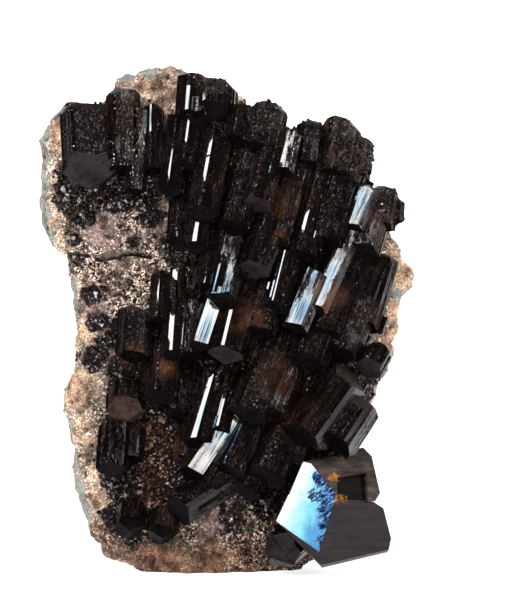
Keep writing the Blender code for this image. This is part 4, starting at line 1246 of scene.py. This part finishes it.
cluster_piece("middle_right_prisms", [
    Prism(8.9, 32.3, 11.0, 37.2, 4.6, 3.0, 17.0, -18.0, 0.3),
    Prism(11.7, 34.4, 15.4, 42.4, 4.4, 2.5, 17.0, -18.0, 0.3),
    Prism(12.6, 31.2, 16.0, 40.4, 3.2, 3.8, 18.0, 6.0, 0.35),
    Prism(14.6, 28.4, 18.4, 38.4, 2.8, 4.4, 17.0, 0.0, 0.4),
    Prism(17.6, 32.0, 20.4, 41.0, 2.2, 3.6, 16.0, 4.0, 0.4, 0.5, 0.5),
    Prism(10.2, 27.4, 13.4, 35.4, 3.2, 4.4, 20.0, 4.0, 0.35),
], seed=16)

# The centre prisms: a dense bundle of ribbed bars of tourmaline, some with satin ends. They grew into one
# another, and are rooted in the middle of the rock.

cluster_piece("centre_prisms", [
    Prism(3.7, 39.6, 6.8, 47.8, 4.6, 3.3, 19.0, 2.0, 0.3, 0.8, tip="satin"),
    Prism(-0.5, 35.6, 1.0, 41.8, 4.8, 3.2, 20.0, -16.0, 0.3, 0.8),
    Prism(-3.0, 29.8, -0.8, 36.4, 4.6, 2.8, 19.0, -15.0, 0.25),
    Prism(0.2, 28.5, 2.6, 38.4, 4.4, 4.0, 20.0, 14.0, 0.42, 0.65, tip="satin"),
    Prism(4.2, 31.6, 6.6, 40.6, 3.6, 3.6, 20.0, 4.0, 0.3),
    Prism(6.5, 34.6, 9.0, 44.4, 4.0, 3.2, 18.0, 14.0, 0.16),
    Prism(-2.2, 37.4, -1.0, 45.0, 3.8, 2.6, 20.0, 14.0, 0.2),
    Prism(1.6, 38.4, 3.2, 45.0, 3.2, 3.0, 20.0, 2.0, 0.25),
], seed=17)

# The middle left prisms: upright bars of tourmaline beside the bare rock, one with a long bright edge. They
# are rooted in the rock behind.

cluster_piece("middle_left_prisms", [
    Prism(-6.7, 28.4, -6.0, 39.4, 4.4, 2.7, 21.0, 18.0, 0.62),
    Prism(-4.5, 28.6, -3.4, 42.0, 3.6, 2.9, 20.0, 2.0, 0.3),
    Prism(-8.5, 33.0, -8.1, 39.4, 3.2, 2.3, 20.0, 18.0, 0.25, 0.5, 0.0),
], seed=18)

# The lower left prisms: two dark upright bars of tourmaline below the bright edge. They are rooted in the
# rock above the hollow.

cluster_piece("lower_left_prisms", [
    Prism(-8.3, 22.6, -7.8, 29.0, 3.8, 3.8, 22.0, 16.0, 0.3),
    Prism(-6.2, 20.4, -5.6, 27.0, 2.8, 3.2, 22.0, 2.0, 0.3),
], seed=19)

# The short stub: a thick dark bar of tourmaline that ends in the bare rock on the left. It is seated in the
# stone by itself.

cluster_piece("short_stub", [
    Prism(-11.9, 28.2, -11.6, 34.6, 2.8, 3.6, 20.0, 2.0, 0.35, 0.5, 0.0),
], seed=20)

# The right shoulder crystals: blocky bars of tourmaline and a ribbed fan at the upper right edge. They grew
# into one another, and are rooted in the rock's edge.

cluster_piece("right_shoulder_crystals", [
    Prism(16.2, 44.8, 18.8, 50.4, 3.8, 2.8, 17.0, -18.0, 0.3, 0.5, 0.0),
    Prism(17.3, 41.6, 18.9, 46.6, 3.2, 4.2, 22.0, -12.0, 0.5),
    Prism(19.6, 45.0, 20.6, 50.2, 2.4, 3.8, 18.0, 4.0, 0.4, 0.5, 0.0),
    Prism(21.7, 45.6, 21.9, 48.8, 1.4, 2.4, 18.0, 2.0, 0.3, 0.5, 0.0),
], seed=21)

# The upper left prisms: thin upright bars of tourmaline under the top crystal. They grew into one another,
# and are rooted in the rock behind.

cluster_piece("upper_left_prisms", [
    Prism(-2.7, 46.6, -1.0, 56.2, 4.4, 3.7, 20.0, 14.0, 0.4),
    Prism(-3.6, 42.4, -2.7, 49.0, 3.8, 2.6, 21.0, 17.0, 0.55),
    Prism(-5.8, 42.8, -5.2, 52.6, 3.2, 2.8, 20.0, 17.0, 0.25),
    Prism(-7.0, 49.6, -6.1, 57.0, 3.6, 2.6, 20.0, 17.0, 0.25),
    Prism(-5.0, 53.0, -4.2, 59.0, 3.4, 2.4, 20.0, 17.0, 0.25),
], seed=22)

# The upper middle prisms: brown ribbed bars of tourmaline that lean to the right. They grew into one
# another, and are rooted in the rock behind.

cluster_piece("upper_middle_prisms", [
    Prism(1.0, 45.0, 3.6, 55.4, 3.8, 3.7, 20.0, 2.0, 0.35),
    Prism(4.0, 48.0, 6.3, 56.0, 4.2, 3.2, 20.0, 4.0, 0.3, 0.8, tip="satin"),
    Prism(6.3, 43.0, 9.0, 53.2, 3.4, 3.6, 20.0, 2.0, 0.4),
    Prism(7.3, 52.2, 8.5, 57.8, 3.8, 2.7, 20.0, -14.0, 0.3, 0.5, 0.0),
], seed=23)

# The inner right prisms: two dark bars of tourmaline between the middle and the right shoulder. They are
# rooted in the rock behind.

cluster_piece("inner_right_prisms", [
    Prism(9.8, 41.2, 12.6, 51.8, 3.8, 3.4, 19.0, 14.0, 0.4),
    Prism(12.8, 43.0, 15.4, 51.0, 3.4, 4.0, 18.0, 2.0, 0.35),
], seed=24)

# The upper edge prisms: short bars of tourmaline with rough tops along the upper edge. They are rooted in
# the rock, which ends just above them.

cluster_piece("upper_edge_prisms", [
    Prism(4.5, 54.8, 5.9, 61.2, 3.0, 4.0, 22.0, 4.0, 0.35, 0.5, 0.0),
    Prism(1.6, 56.0, 2.4, 60.8, 3.2, 3.2, 19.0, 15.0, 0.2, 0.5, 0.0),
], seed=25)

# The upper right prisms: rounded stumps of tourmaline at the upper right corner. They are rooted in the
# rock, and stand a little over its edge.

cluster_piece("upper_right_prisms", [
    Prism(14.1, 51.2, 15.2, 59.0, 3.0, 4.2, 20.0, 2.0, 0.5, 0.5, 0.0),
    Prism(10.7, 53.0, 11.2, 58.8, 3.0, 2.8, 20.0, 2.0, 0.3, 0.5, 0.0),
    Prism(16.7, 51.2, 17.4, 56.6, 1.6, 3.2, 18.0, 4.0, 0.35, 0.5, 0.0),
], seed=26)

# The top crystal: the short thick pair of tourmaline crystals that makes the highest point, with a broad
# dark lower end. It is rooted in the rock's upper edge.

cluster_piece("top_crystal", [
    Prism(-1.9, 57.3, -1.5, 64.2, 3.4, 5.1, 22.0, 16.0, 0.34, 0.9, 0.0, 44.0),
    Prism(-4.2, 59.0, -3.8, 64.8, 3.0, 3.6, 18.0, 14.0, 0.45, 0.9, 0.0),
], seed=27)

# The top left crystals: a broad rough block of tourmaline and the upright bars beside it. They grew into one
# another, and are rooted in the rock's upper left.

cluster_piece("top_left_crystals", [
    Prism(-17.2, 51.2, -17.8, 61.0, 2.8, 5.6, 14.0, 2.0, 0.5, 0.8, 0.0, 38.0, "satin"),
    Prism(-13.3, 52.4, -13.2, 63.0, 2.0, 3.4, 13.0, 4.0, 0.35, 0.5, 0.0),
    Prism(-10.9, 52.4, -10.8, 60.6, 1.6, 2.0, 14.0, 0.0, 0.2, 0.5, 0.0),
    Prism(-9.3, 52.4, -9.2, 61.0, 1.8, 2.1, 18.0, 17.0, 0.22, 0.5, 0.0),
    Prism(-15.5, 54.0, -15.3, 59.6, 1.7, 2.4, 15.0, 4.0, 0.25, 0.5, 0.0),
    Prism(-11.6, 49.6, -11.2, 56.0, 1.9, 2.2, 12.0, 2.0, 0.25, 0.5, 0.0),
], seed=28)

# The hollow's block: two black bars of tourmaline in the hollow at the lower left. They are rooted in its
# floor.

cluster_piece("hollow_block", [
    Prism(-14.6, 13.4, -14.1, 20.2, 2.4, 3.4, 18.0, 2.0, 0.35, 0.8, 0.0),
    Prism(-12.4, 14.6, -12.0, 19.6, 1.8, 2.8, 20.0, 2.0, 0.35, 0.5, 0.0),
], seed=29)

# The hollow's cap: a blunt brown end of tourmaline that points forward above the block. Its shaft is rooted
# in the hollow's floor.

cluster_piece("hollow_cap", [
    Prism(-12.9, 21.0, -12.8, 24.4, 2.6, 4.0, 40.0, 2.0, 0.6, 0.9, 0.0, tip="brown"),
], seed=30, side_growths=0)

# The hollow's hexagon: a black six-sided end of tourmaline that points forward. Its shaft is rooted in the
# hollow's floor.

cluster_piece("hollow_hexagon", [
    Prism(-12.4, 6.2, -12.2, 8.8, 3.0, 3.2, 50.0, 2.0, 0.35, 0.2, 0.0),
], seed=31, side_growths=0)

# The hollow's red crystal: a blunt end of tourmaline in rust-red crust, beside the hexagon. Its shaft is
# rooted in the hollow's floor.

cluster_piece("hollow_red_crystal", [
    Prism(-8.1, 5.4, -7.9, 8.4, 2.6, 3.2, 45.0, 4.0, 0.35, 0.3, 0.0),
], seed=32, side_growths=0)

# The small end crystal: a stub of tourmaline with one broad grey end at the bottom edge. It is seated in the
# rock beside the diamond-ended crystal.

cluster_piece("small_end_crystal", [
    Prism(7.0, 3.1, 9.1, 4.6, 3.6, 4.0, 45.0, 2.0, 0.5, 0.8, tip="satin"),
], seed=33, side_growths=0)

# The diamond-ended crystal: the large pair at the lower right, two crystals grown side by side that share
# one flat diamond-shaped end. It is tourmaline, rooted in the rock. The end's white to pale blue is a painted
# reflection and sheen, and the end is broken along its right side, where painted shade and a few painted
# glints colour it. The upper half has a sunken patch in its side, whose walls are painted in shade.

FLAT_END = 6
BROWN_SIDE = 7
PURPLE_SIDE = 8
RECESS_SHADED_SIDE = 9
END_CELL = 0.32
END_CUTS = 60
END_CUT_WAYS = (Vector((1.0, 0.0, 0.0)), Vector((0.35, 0.0, 1.0)))
END_STEP = 0.07
END_STEP_LEVELS = 4.0
END_PATCH = 1.7
END_PATCH_LAYERS = (0.7, 2.0, 2)
BROKEN_FROM = 9.5
BROKEN_FADE = 3.5
RECESS = [(14.5, 13.0), (18.4, 13.3), (18.6, 9.4), (14.5, 9.4)]  # clockwise, as seen from the front
RECESS_DEPTH = 0.7
LOOKS_FORWARD = -0.3  # a face looks forward, left or down when its normal falls below these
LOOKS_LEFT = 0.2
LOOKS_DOWN = -0.2
RUSTY_PLACES = [(14.2, 13.0, 0.55), (14.8, 10.3, 0.6)]
RUST_WIDENING = 0.6
RUST_CORE = 0.4

# A flat face: how far forward it stands at one place, and how much farther for each millimetre across or up.
Facet = namedtuple("Facet", "across up forward per_across per_up")
END = Facet(10.0, 9.0, 13.0, 0.147, -0.423)
END_FACING = Vector((-END.per_across, -1.0, -END.per_up)).normalized()
ON_END = 0.999
COPLANAR = 1.0  # degrees between faces that count as one face
GROWTH_STEP = 0.2
# The corners of the two halves: on the flat end and the long side as (across, up), and behind them as
# (across, up, forward).
UPPER_END = [(10.1, 15.0), (11.1, 14.8), (14.4, 10.9), (8.0, 10.2), (13.6, 9.6)]
LOWER_END = [(6.6, 7.6), (12.1, 3.9), (14.2, 10.5), (8.2, 10.9)]
UPPER_SIDE = Facet(14.4, 10.9, 12.64, -0.66, -1.1)
UPPER_SIDE_CORNERS = [(18.0, 16.3), (19.1, 15.2), (20.1, 10.8), (19.4, 9.9)]
UPPER_BACK = [
    (14.0, 9.4, 11.8), (11.5, 14.8, 4.0), (17.0, 15.6, -1.0), (18.6, 11.0, -2.0), (12.0, 9.6, -1.0),
]
LOWER_SIDE = Facet(14.2, 10.5, 12.98, -0.583, -0.191)
LOWER_SIDE_CORNERS = [(19.2, 9.8), (20.5, 8.9), (21.5, 5.0), (21.2, 3.6), (12.3, 2.2)]
LOWER_BACK = [
    (12.5, 1.7, 14.3), (21.0, 3.1, 9.0), (9.4, 4.6, 11.0), (18.6, 8.6, -1.0), (19.0, 4.2, -2.0),
    (12.2, 2.6, 0.0), (10.0, 9.6, -1.0),
]


def diamond_material():
    """The flat end: a painted reflection, white at its left to deeper blue at its right, painted shade where
    broken.
    """
    material, tree = new_material("diamond_end")
    where = object_place(tree)
    cloud = noise_at(tree, where, 500.0, 3.0, 0.6)
    fine = noise_at(tree, where, 3600.0, 4.0, 0.75)
    turned = place_node(tree, "ShaderNodeMapping", {"Vector": where, "Rotation": (0.0, -0.8, 0.0)}).outputs[0]
    slanting = stretched(tree, turned, (1.0, 1.0, 0.34))
    shards = noise_at(tree, slanting, 3000.0, 5.0, 0.8)
    from_left = vector_math(tree, "DOT_PRODUCT", {0: where, 1: (0.909, 0.0, -0.418)}, "Value")
    from_left = ranged(tree, from_left, (0.0028, 0.0088))
    tone = plus(tree, plus(tree, from_left, swing(tree, cloud, 0.7)), swing(tree, fine, 0.25))
    # A painted reflection and sheen: white at the left, then pale and deeper blue to the right.
    painted_reflection = graded(tree, tone, (0.14, (1.0, 1.0, 1.0)), (0.32, (0.58, 0.94, 1.0)), (0.58, (0.26, 0.76, 0.92)),
                 (0.85, (0.12, 0.40, 0.78)))
    # The broken part: painted shade in dark navy, with a few painted glints in pale blue.
    broken_shade_and_glints = graded(tree, shards, (0.44, (0.006, 0.012, 0.035)), (0.52, (0.03, 0.09, 0.26)),
                  (0.57, (0.10, 0.30, 0.62)), (0.62, (0.55, 0.84, 1.0)), (0.66, (0.02, 0.05, 0.14)))
    ragged = swing(tree, noise_at(tree, slanting, 1300.0, 6.0, 0.8), 3.0)
    broken = greys(tree, plus(tree, attribute(tree, "shaded"), ragged), (0.46, 0.0), (0.56, 1.0))
    dots = graded(tree, fine, (0.24, (0.25, 0.35, 0.45)), (0.30, (1.0, 1.0, 1.0)))
    tint = blended(tree, 1.0, blended(tree, broken, painted_reflection, broken_shade_and_glints), dots, "MULTIPLY")
    # Nearly half of the painted reflection goes into the base colour as well as the tint.
    return painted(material, {
        "Base Color": blended(tree, 0.46, (0.003, 0.004, 0.007, 1.0), tint), "Roughness": 0.34, "IOR": 1.66,
        "Specular Tint": tint, "Normal": bumped(tree, fine, 0.3, 0.00012),
    })


def dull_material(name, low, middle, high):
    """The large crystal's dull sides, finely lined across, with rusty marks by the sunken patch."""
    material, tree = new_material(name)
    where = object_place(tree)
    lines = noise_at(tree, stretched(tree, where, (0.12, 0.12, 1.0)), 1900.0, 4.0, 0.65)
    cloud = noise_at(tree, where, 700.0, 5.0, 0.6)
    tone = plus(tree, times(tree, lines, 0.6), times(tree, cloud, 0.4))
    color = graded(tree, tone, (0.36, low), (0.50, middle), (0.64, high))
    rust = graded(tree, cloud, (0.40, (0.06, 0.022, 0.008)), (0.62, (0.42, 0.17, 0.035)))
    ragged = swing(tree, noise_at(tree, where, 2400.0), 0.0022)
    flat = stretched(tree, where, (RUST_WIDENING, 0.0, 1.0))
    for across, up, reach in RUSTY_PLACES:
        place = (across * RUST_WIDENING * MM, 0.0, up * MM)
        distance = plus(tree, vector_math(tree, "DISTANCE", {0: flat, 1: place}, "Value"), ragged)
        near = ranged(tree, distance, (reach * MM, reach * RUST_CORE * MM))
        color = blended(tree, near, color, rust)
    return painted(material, {
        "Base Color": color, "Roughness": 0.42, "IOR": 1.34, "Normal": bumped(tree, tone, 0.5, 0.0001),
    })


def inside(polygon, across, up):
    """Whether a place lies in a convex polygon whose corners run clockwise."""
    for start, end in zip(polygon, polygon[1:] + polygon[:1]):
        if (end[0] - start[0]) * (up - start[1]) - (end[1] - start[1]) * (across - start[0]) > 0.0:
            return False
    return True


def split_along(bm, faces, point, outward):
    """Splits some faces, with their edges and corners, along a plane."""
    geometry = faces + list({edge for face in faces for edge in face.edges})
    geometry += list({vert for face in faces for vert in face.verts})
    bmesh.ops.bisect_plane(bm, geom=geometry, plane_co=point, plane_no=outward)


def sink_patch(bm, polygon, depth, material_index):
    """Sinks the part of the forward faces that lies within a polygon seen from the front."""
    for start, end in zip(polygon, polygon[1:] + polygon[:1]):
        faces = [face for face in bm.faces if face.normal.y < LOOKS_FORWARD]
        outward = Vector((end[1] - start[1], 0.0, start[0] - end[0])).normalized()
        split_along(bm, faces, Vector((start[0], 0.0, start[1])), outward)
        bm.normal_update()
    patch = []
    for face in bm.faces:
        middle = face.calc_center_median()
        if face.normal.y < LOOKS_FORWARD and inside(polygon, middle.x, middle.z):
            patch.append(face)
    inward = -sum((face.normal for face in patch), Vector()).normalized()
    sunk = bmesh.ops.extrude_face_region(bm, geom=patch)
    bmesh.ops.delete(bm, geom=patch, context="FACES_ONLY")
    for item in sunk["geom"]:
        if isinstance(item, bmesh.types.BMVert):
            item.co += inward * depth
        if isinstance(item, bmesh.types.BMFace):
            item.material_index = material_index
    bmesh.ops.recalc_face_normals(bm, faces=bm.faces)


def end_faces(bm):
    """The faces of the flat end."""
    return [face for face in bm.faces if face.material_index == FLAT_END]


def step_end(bm):
    """Breaks the flat end into thin steps, deeper towards its right corner."""
    leftmost = min(vert.co.x for face in end_faces(bm) for vert in face.verts)
    for way, start in zip(END_CUT_WAYS, (leftmost, 0.0)):
        for cut in range(END_CUTS):
            split_along(bm, end_faces(bm), way.normalized() * (start + cut * END_CELL), way)
    for vert in bm.verts:
        if all(face.material_index == FLAT_END for face in vert.link_faces):
            share = clamp((vert.co.x - BROKEN_FROM) / BROKEN_FADE)
            level = math.floor(noise.fractal(vert.co / END_PATCH, *END_PATCH_LAYERS) * END_STEP_LEVELS)
            vert.co -= END_FACING * END_STEP * share * max(level, 0.0)
    bmesh.ops.triangulate(bm, faces=end_faces(bm))


def place_on(facet, across, up):
    """The place on a flat face at a distance across and up."""
    forward = facet.forward + facet.per_across * (across - facet.across) + facet.per_up * (up - facet.up)
    return Vector((across, -forward, up))


def twin_half(end_corners, set_back, side, side_corners, back_corners, side_look):
    """Half of the large crystal: the convex solid between its flat end, its long side and its back."""
    points = [place_on(END, *corner) + Vector((0.0, set_back, 0.0)) for corner in end_corners]
    points += [place_on(side, *corner) for corner in side_corners]
    points += [Vector((across, -forward, up)) for across, up, forward in back_corners]
    bm = bmesh.new()
    for point in points:
        bm.verts.new(point)
    hull = bmesh.ops.convex_hull(bm, input=bm.verts)
    bmesh.ops.delete(bm, geom=hull["geom_interior"], context="VERTS")
    bmesh.ops.dissolve_limit(bm, angle_limit=math.radians(COPLANAR), verts=bm.verts, edges=bm.edges)
    bmesh.ops.recalc_face_normals(bm, faces=bm.faces)
    bm.normal_update()
    for face in bm.faces:
        face.material_index = side_look
        if face.normal.dot(END_FACING) > ON_END:
            face.material_index = FLAT_END
        # A face that looks down and not to the right takes the near-black end look: painted shade below.
        elif face.normal.x < LOOKS_LEFT and face.normal.z < LOOKS_DOWN:
            face.material_index = DARK_TIP
    bm.loops.layers.uv.new("growth")
    return bm


TOURMALINE[FLAT_END] = diamond_material()
TOURMALINE[BROWN_SIDE] = dull_material("dull_brown", (0.018, 0.013, 0.011), (0.046, 0.034, 0.029),
                                       (0.086, 0.066, 0.058))
TOURMALINE[PURPLE_SIDE] = dull_material("dull_purple", (0.006, 0.0036, 0.0048), (0.011, 0.0066, 0.0084),
                                        (0.020, 0.013, 0.015))
# The sunken patch's walls are near black: painted shade.
TOURMALINE[RECESS_SHADED_SIDE] = dull_material("recess_painted_shade", (0.0008, 0.0006, 0.0005), (0.002, 0.0013, 0.001),
                                        (0.010, 0.006, 0.004))
lower_half = twin_half(LOWER_END, 0.0, LOWER_SIDE, LOWER_SIDE_CORNERS, LOWER_BACK, PURPLE_SIDE)
upper_half = twin_half(UPPER_END, GROWTH_STEP, UPPER_SIDE, UPPER_SIDE_CORNERS, UPPER_BACK, BROWN_SIDE)
sink_patch(upper_half, RECESS, RECESS_DEPTH, RECESS_SHADED_SIDE)
twin = bmesh.new()
for half in (lower_half, upper_half):
    step_end(half)
    gather(twin, half)
crystal_piece("diamond_end_crystal", twin)

# The small prisms between: hundreds of thin dark tourmaline crystals that stand among the large ones, lean
# with them, and fill the gaps down to the rock. They grew from the rock's crust.

SMALL_PRISM_SPACING = 0.8
SMALL_PRISM_LIFT = (1.2, 3.8)
SMALL_PRISM_WAVE = 0.9
SMALL_PRISM_WIDTH = (0.35, 1.1)
SMALL_PRISM_LENGTH = (2.0, 5.0)
SMALL_PRISM_LEAN = 0.16
SMALL_PRISM_END_RADIUS = 0.12  # of a prism's width
SMALL_PRISM_END_HEIGHT = 0.06  # of a prism's length
SMALL_PRISMS_PER_SQUARE_MM = 0.75
LEAST_LEAN_DISTANCE = 0.5
SHEET_CORNER = (-22.0, 3.0)
SHEET_SIZE = (46.0, 62.0)
BETWEEN_CRYSTALS = [
    (0.0, 52.0, 4.5), (8.0, 48.0, 5.0), (14.0, 46.0, 4.5), (-3.0, 47.0, 5.0), (5.0, 45.0, 7.0),
    (12.5, 41.0, 6.0), (-3.0, 38.0, 4.6), (4.0, 36.0, 7.0), (12.0, 33.0, 6.5), (16.5, 33.0, 4.0),
    (-6.0, 31.0, 3.0), (-5.0, 23.0, 3.6), (2.0, 26.0, 6.5), (9.0, 24.0, 6.5), (14.5, 22.5, 4.0),
    (-2.0, 16.0, 4.4), (4.0, 16.0, 6.0), (10.5, 16.0, 5.0), (6.0, 12.0, 4.0),
]


def lean_at(across, up):
    """The way that the prisms nearest to a place run."""
    total = Vector()
    for middle, along in ALONG_OF_PRISMS:
        distance = math.hypot(middle.x - across, middle.z - up)
        total += along / (LEAST_LEAN_DISTANCE + distance ** 3)
    return total.normalized()


def packed_surface():
    """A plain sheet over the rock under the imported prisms, with their lean and crowding at its points."""
    columns = int(SHEET_SIZE[0] / SMALL_PRISM_SPACING)
    rows = int(SHEET_SIZE[1] / SMALL_PRISM_SPACING)
    places = []
    faces = []
    for row in range(rows + 1):
        for column in range(columns + 1):
            places.append((SHEET_CORNER[0] + column * SMALL_PRISM_SPACING,
                           SHEET_CORNER[1] + row * SMALL_PRISM_SPACING))
            if row < rows and column < columns:
                corner = row * (columns + 1) + column
                faces.append((corner, corner + 1, corner + columns + 2, corner + columns + 1))
    points = []
    for across, up in places:
        wave = 0.5 + 0.5 * noise.noise(Vector((across, up, 0.0)) * SMALL_PRISM_WAVE)
        lift = SMALL_PRISM_LIFT[0] + (SMALL_PRISM_LIFT[1] - SMALL_PRISM_LIFT[0]) * wave
        points.append(Vector((across, -rock_forward(across, up) - lift, up)) * MM)
    mesh = bpy.data.meshes.new("packed surface")
    mesh.from_pydata(points, [], faces)
    hold_numbers(mesh, {"packed": [spot_share(BETWEEN_CRYSTALS, *place) ** 2 for place in places]})
    lean = mesh.attributes.new("lean", "FLOAT_VECTOR", "POINT")
    lean.data.foreach_set("vector", [value for place in places for value in lean_at(*place)])
    return mesh


def small_prism_tree():
    """Stands slim six-sided prisms on a sheet, by its own numbers called packed and lean."""
    tree, given = node_group("small prisms", "Least Width", "Most Width", "Least Length", "Most Length",
                             "Density")
    point = six_sided(tree, SMALL_PRISM_END_RADIUS, 0.5, SMALL_PRISM_END_HEIGHT, "NGON")
    point = place_node(tree, "GeometryNodeTransform", {"Geometry": point, "Rotation": (math.pi, 0.0, 0.0)})
    crystal = joined(tree, six_sided(tree, 0.5, 0.5, 1.0), point.outputs[0])
    width = random_number(tree, given["Least Width"], given["Most Width"], 1)
    length = random_number(tree, given["Least Length"], given["Most Length"], 2)
    size = place_node(tree, "ShaderNodeCombineXYZ", {"X": width, "Y": width, "Z": length}).outputs[0]
    lean = held(tree, "lean", "FLOAT_VECTOR")
    upright = place_node(tree, "FunctionNodeAlignRotationToVector", {"Vector": lean}, axis="Z").outputs[0]
    return tree, scatter(tree, given, held(tree, "packed"), crystal, size, SMALL_PRISM_LEAN, upright)


def small_prism_material():
    """The same near-black crystal without lines, a little brown in places."""
    material, tree = new_material("tourmaline_small")
    where = object_place(tree)
    cloud = noise_at(tree, where, 500.0, 4.0)
    specks = noise_at(tree, where, 3600.0, 3.0, 0.7)
    color = graded(tree, cloud, (0.36, (0.0015, 0.0011, 0.001)), (0.55, (0.006, 0.0036, 0.003)),
                   (0.70, (0.035, 0.015, 0.009)))
    pale = times(tree, greys(tree, specks, (0.62, 0.0), (0.72, 1.0)), 0.35)
    tint, facets = glints(tree, where, 0.7, (1.0, 1.0, 1.0, 1.0))
    return painted(material, {
        "Base Color": blended(tree, pale, color, (0.20, 0.15, 0.13, 1.0)), "Roughness": 0.12, "IOR": 1.55,
        "Specular Tint": tint, "Normal": bumped(tree, specks, 0.4, 0.00008, facets),
    })


small_group, small_finish = small_prism_tree()
small_finish.inputs["Material"].default_value = small_prism_material()
small_mesh = grown_mesh(small_group, packed_surface(), {
    "Least Width": SMALL_PRISM_WIDTH[0] * MM, "Most Width": SMALL_PRISM_WIDTH[1] * MM,
    "Least Length": SMALL_PRISM_LENGTH[0] * MM, "Most Length": SMALL_PRISM_LENGTH[1] * MM,
    "Density": SMALL_PRISMS_PER_SQUARE_MM / MM ** 2, "Seed": 3,
})
finished_piece("small_prisms", small_mesh, "crystal")

# The grains on the crystals: tiny dark crystals, of the same kind as the druse, that grew over the rough
# blocks and tops along the upper edge. They are seated in their sides.

TOP_GRAIN = 0.13
TOP_GRAINS_PER_SQUARE_MM = 2.4

top_grain_look = druse_material("druse_on_crystals", (0.10, 0.065, 0.06))
druse_finish.inputs["Material"].default_value = top_grain_look
grains = bmesh.new()
for mesh, shares in GRAINED_MESHES:
    surface = mesh.copy()
    hold_numbers(surface, {"dark": shares})
    grains.from_mesh(druse_on(surface, TOP_GRAIN, TOP_GRAINS_PER_SQUARE_MM, 7))
grains_mesh = bpy.data.meshes.new("grains")
grains.to_mesh(grains_mesh)
grains.free()
grains_mesh.materials.append(top_grain_look)
finished_piece("grains_on_crystals", grains_mesh, "crystal")

# The floor and the light: a plain white floor and a white card behind, one main light high on the left that
# glints in the prisms, and weak fill. The camera looks from the front and a little down.

FLOOR_RADIUS = 1.2
FLOOR_SIDES = 64
CARD_HALF_WIDTH = 0.5
CARD_BACK = 1.1
CARD_FOOT = -0.2
CARD_TOP = 0.6
WORLD_LIGHT = 0.03
CAMERA_DISTANCE = 0.6
CAMERA_HEIGHT_ANGLE = 3.5
CAMERA_AIM = Vector((0.0046, -0.005, 0.0356))
FRAME_HEIGHT = 0.078
SENSOR = 36.0


def stage_material(name, grey, glow):
    """A matt pale surface that gives off a little light of its own."""
    return painted(new_material(name)[0], {
        "Base Color": (grey, grey, grey, 1.0), "Roughness": 0.9,
        "Emission Color": (1.0, 1.0, 1.0, 1.0), "Emission Strength": glow,
    })


def stage_object(name, corners, material):
    """A flat piece of the stage."""
    mesh = bpy.data.meshes.new(name)
    mesh.from_pydata(corners, [], [tuple(range(len(corners)))])
    mesh.materials.append(material)
    piece = bpy.data.objects.new(name, mesh)
    bpy.context.scene.collection.objects.link(piece)


def softbox(name, heading, distance, width, height, radiance, color):
    """A rectangular light that faces the specimen, with its strength as radiance."""
    light = bpy.data.lights.new(name, "AREA")
    light.shape = "RECTANGLE"
    light.size = width
    light.size_y = height
    light.energy = radiance * math.pi * width * height
    light.color = color
    holder = bpy.data.objects.new(name, light)
    heading = Vector(heading).normalized()
    holder.location = CAMERA_AIM + heading * distance
    holder.rotation_mode = "QUATERNION"
    holder.rotation_quaternion = heading.to_track_quat("Z", "Y")
    bpy.context.scene.collection.objects.link(holder)


turns = [math.tau * step / FLOOR_SIDES for step in range(FLOOR_SIDES)]
floor_corners = [(FLOOR_RADIUS * math.cos(turn), FLOOR_RADIUS * math.sin(turn), 0.0) for turn in turns]
stage_object("floor", floor_corners, stage_material("floor_white", 0.85, 0.75))
card_corners = [(-CARD_HALF_WIDTH, CARD_FOOT), (CARD_HALF_WIDTH, CARD_FOOT),
                (CARD_HALF_WIDTH, CARD_TOP), (-CARD_HALF_WIDTH, CARD_TOP)]
stage_object("backdrop", [(across, CARD_BACK, up) for across, up in card_corners],
             stage_material("backdrop_white", 0.9, 1.2))

softbox("key", (-0.367, -0.721, 0.588), 0.6, 0.30, 0.19, 18.0, (1.0, 0.98, 0.95))
softbox("blue_strip", (-0.56, -0.57, 0.60), 0.6, 0.05, 0.17, 12.0, (0.25, 0.55, 1.0))
softbox("front_fill", (0.10, -1.0, 0.16), 0.75, 0.22, 0.16, 12.0, (1.0, 0.99, 0.97))
softbox("right_fill", (1.0, -0.05, 0.42), 0.8, 0.26, 0.26, 22.0, (1.0, 0.98, 0.95))
softbox("top_fill", (-0.25, -0.25, 1.0), 0.8, 0.22, 0.22, 8.0, (1.0, 1.0, 1.0))

world = bpy.data.worlds.new("studio")
bpy.context.scene.world = world
world.use_nodes = True
world.node_tree.nodes["Background"].inputs["Color"].default_value = (1.0, 1.0, 1.0, 1.0)
world.node_tree.nodes["Background"].inputs["Strength"].default_value = WORLD_LIGHT

camera = bpy.data.objects.new("camera", bpy.data.cameras.new("camera"))
bpy.context.scene.collection.objects.link(camera)
camera.data.sensor_width = SENSOR
camera.data.lens = SENSOR * CAMERA_DISTANCE / FRAME_HEIGHT
height_angle = math.radians(CAMERA_HEIGHT_ANGLE)
toward_camera = Vector((0.0, -math.cos(height_angle), math.sin(height_angle)))
camera.location = CAMERA_AIM + toward_camera * CAMERA_DISTANCE
camera.rotation_mode = "QUATERNION"
camera.rotation_quaternion = toward_camera.to_track_quat("Z", "Y")
bpy.context.scene.camera = camera
bpy.context.scene.view_settings.view_transform = "Standard"
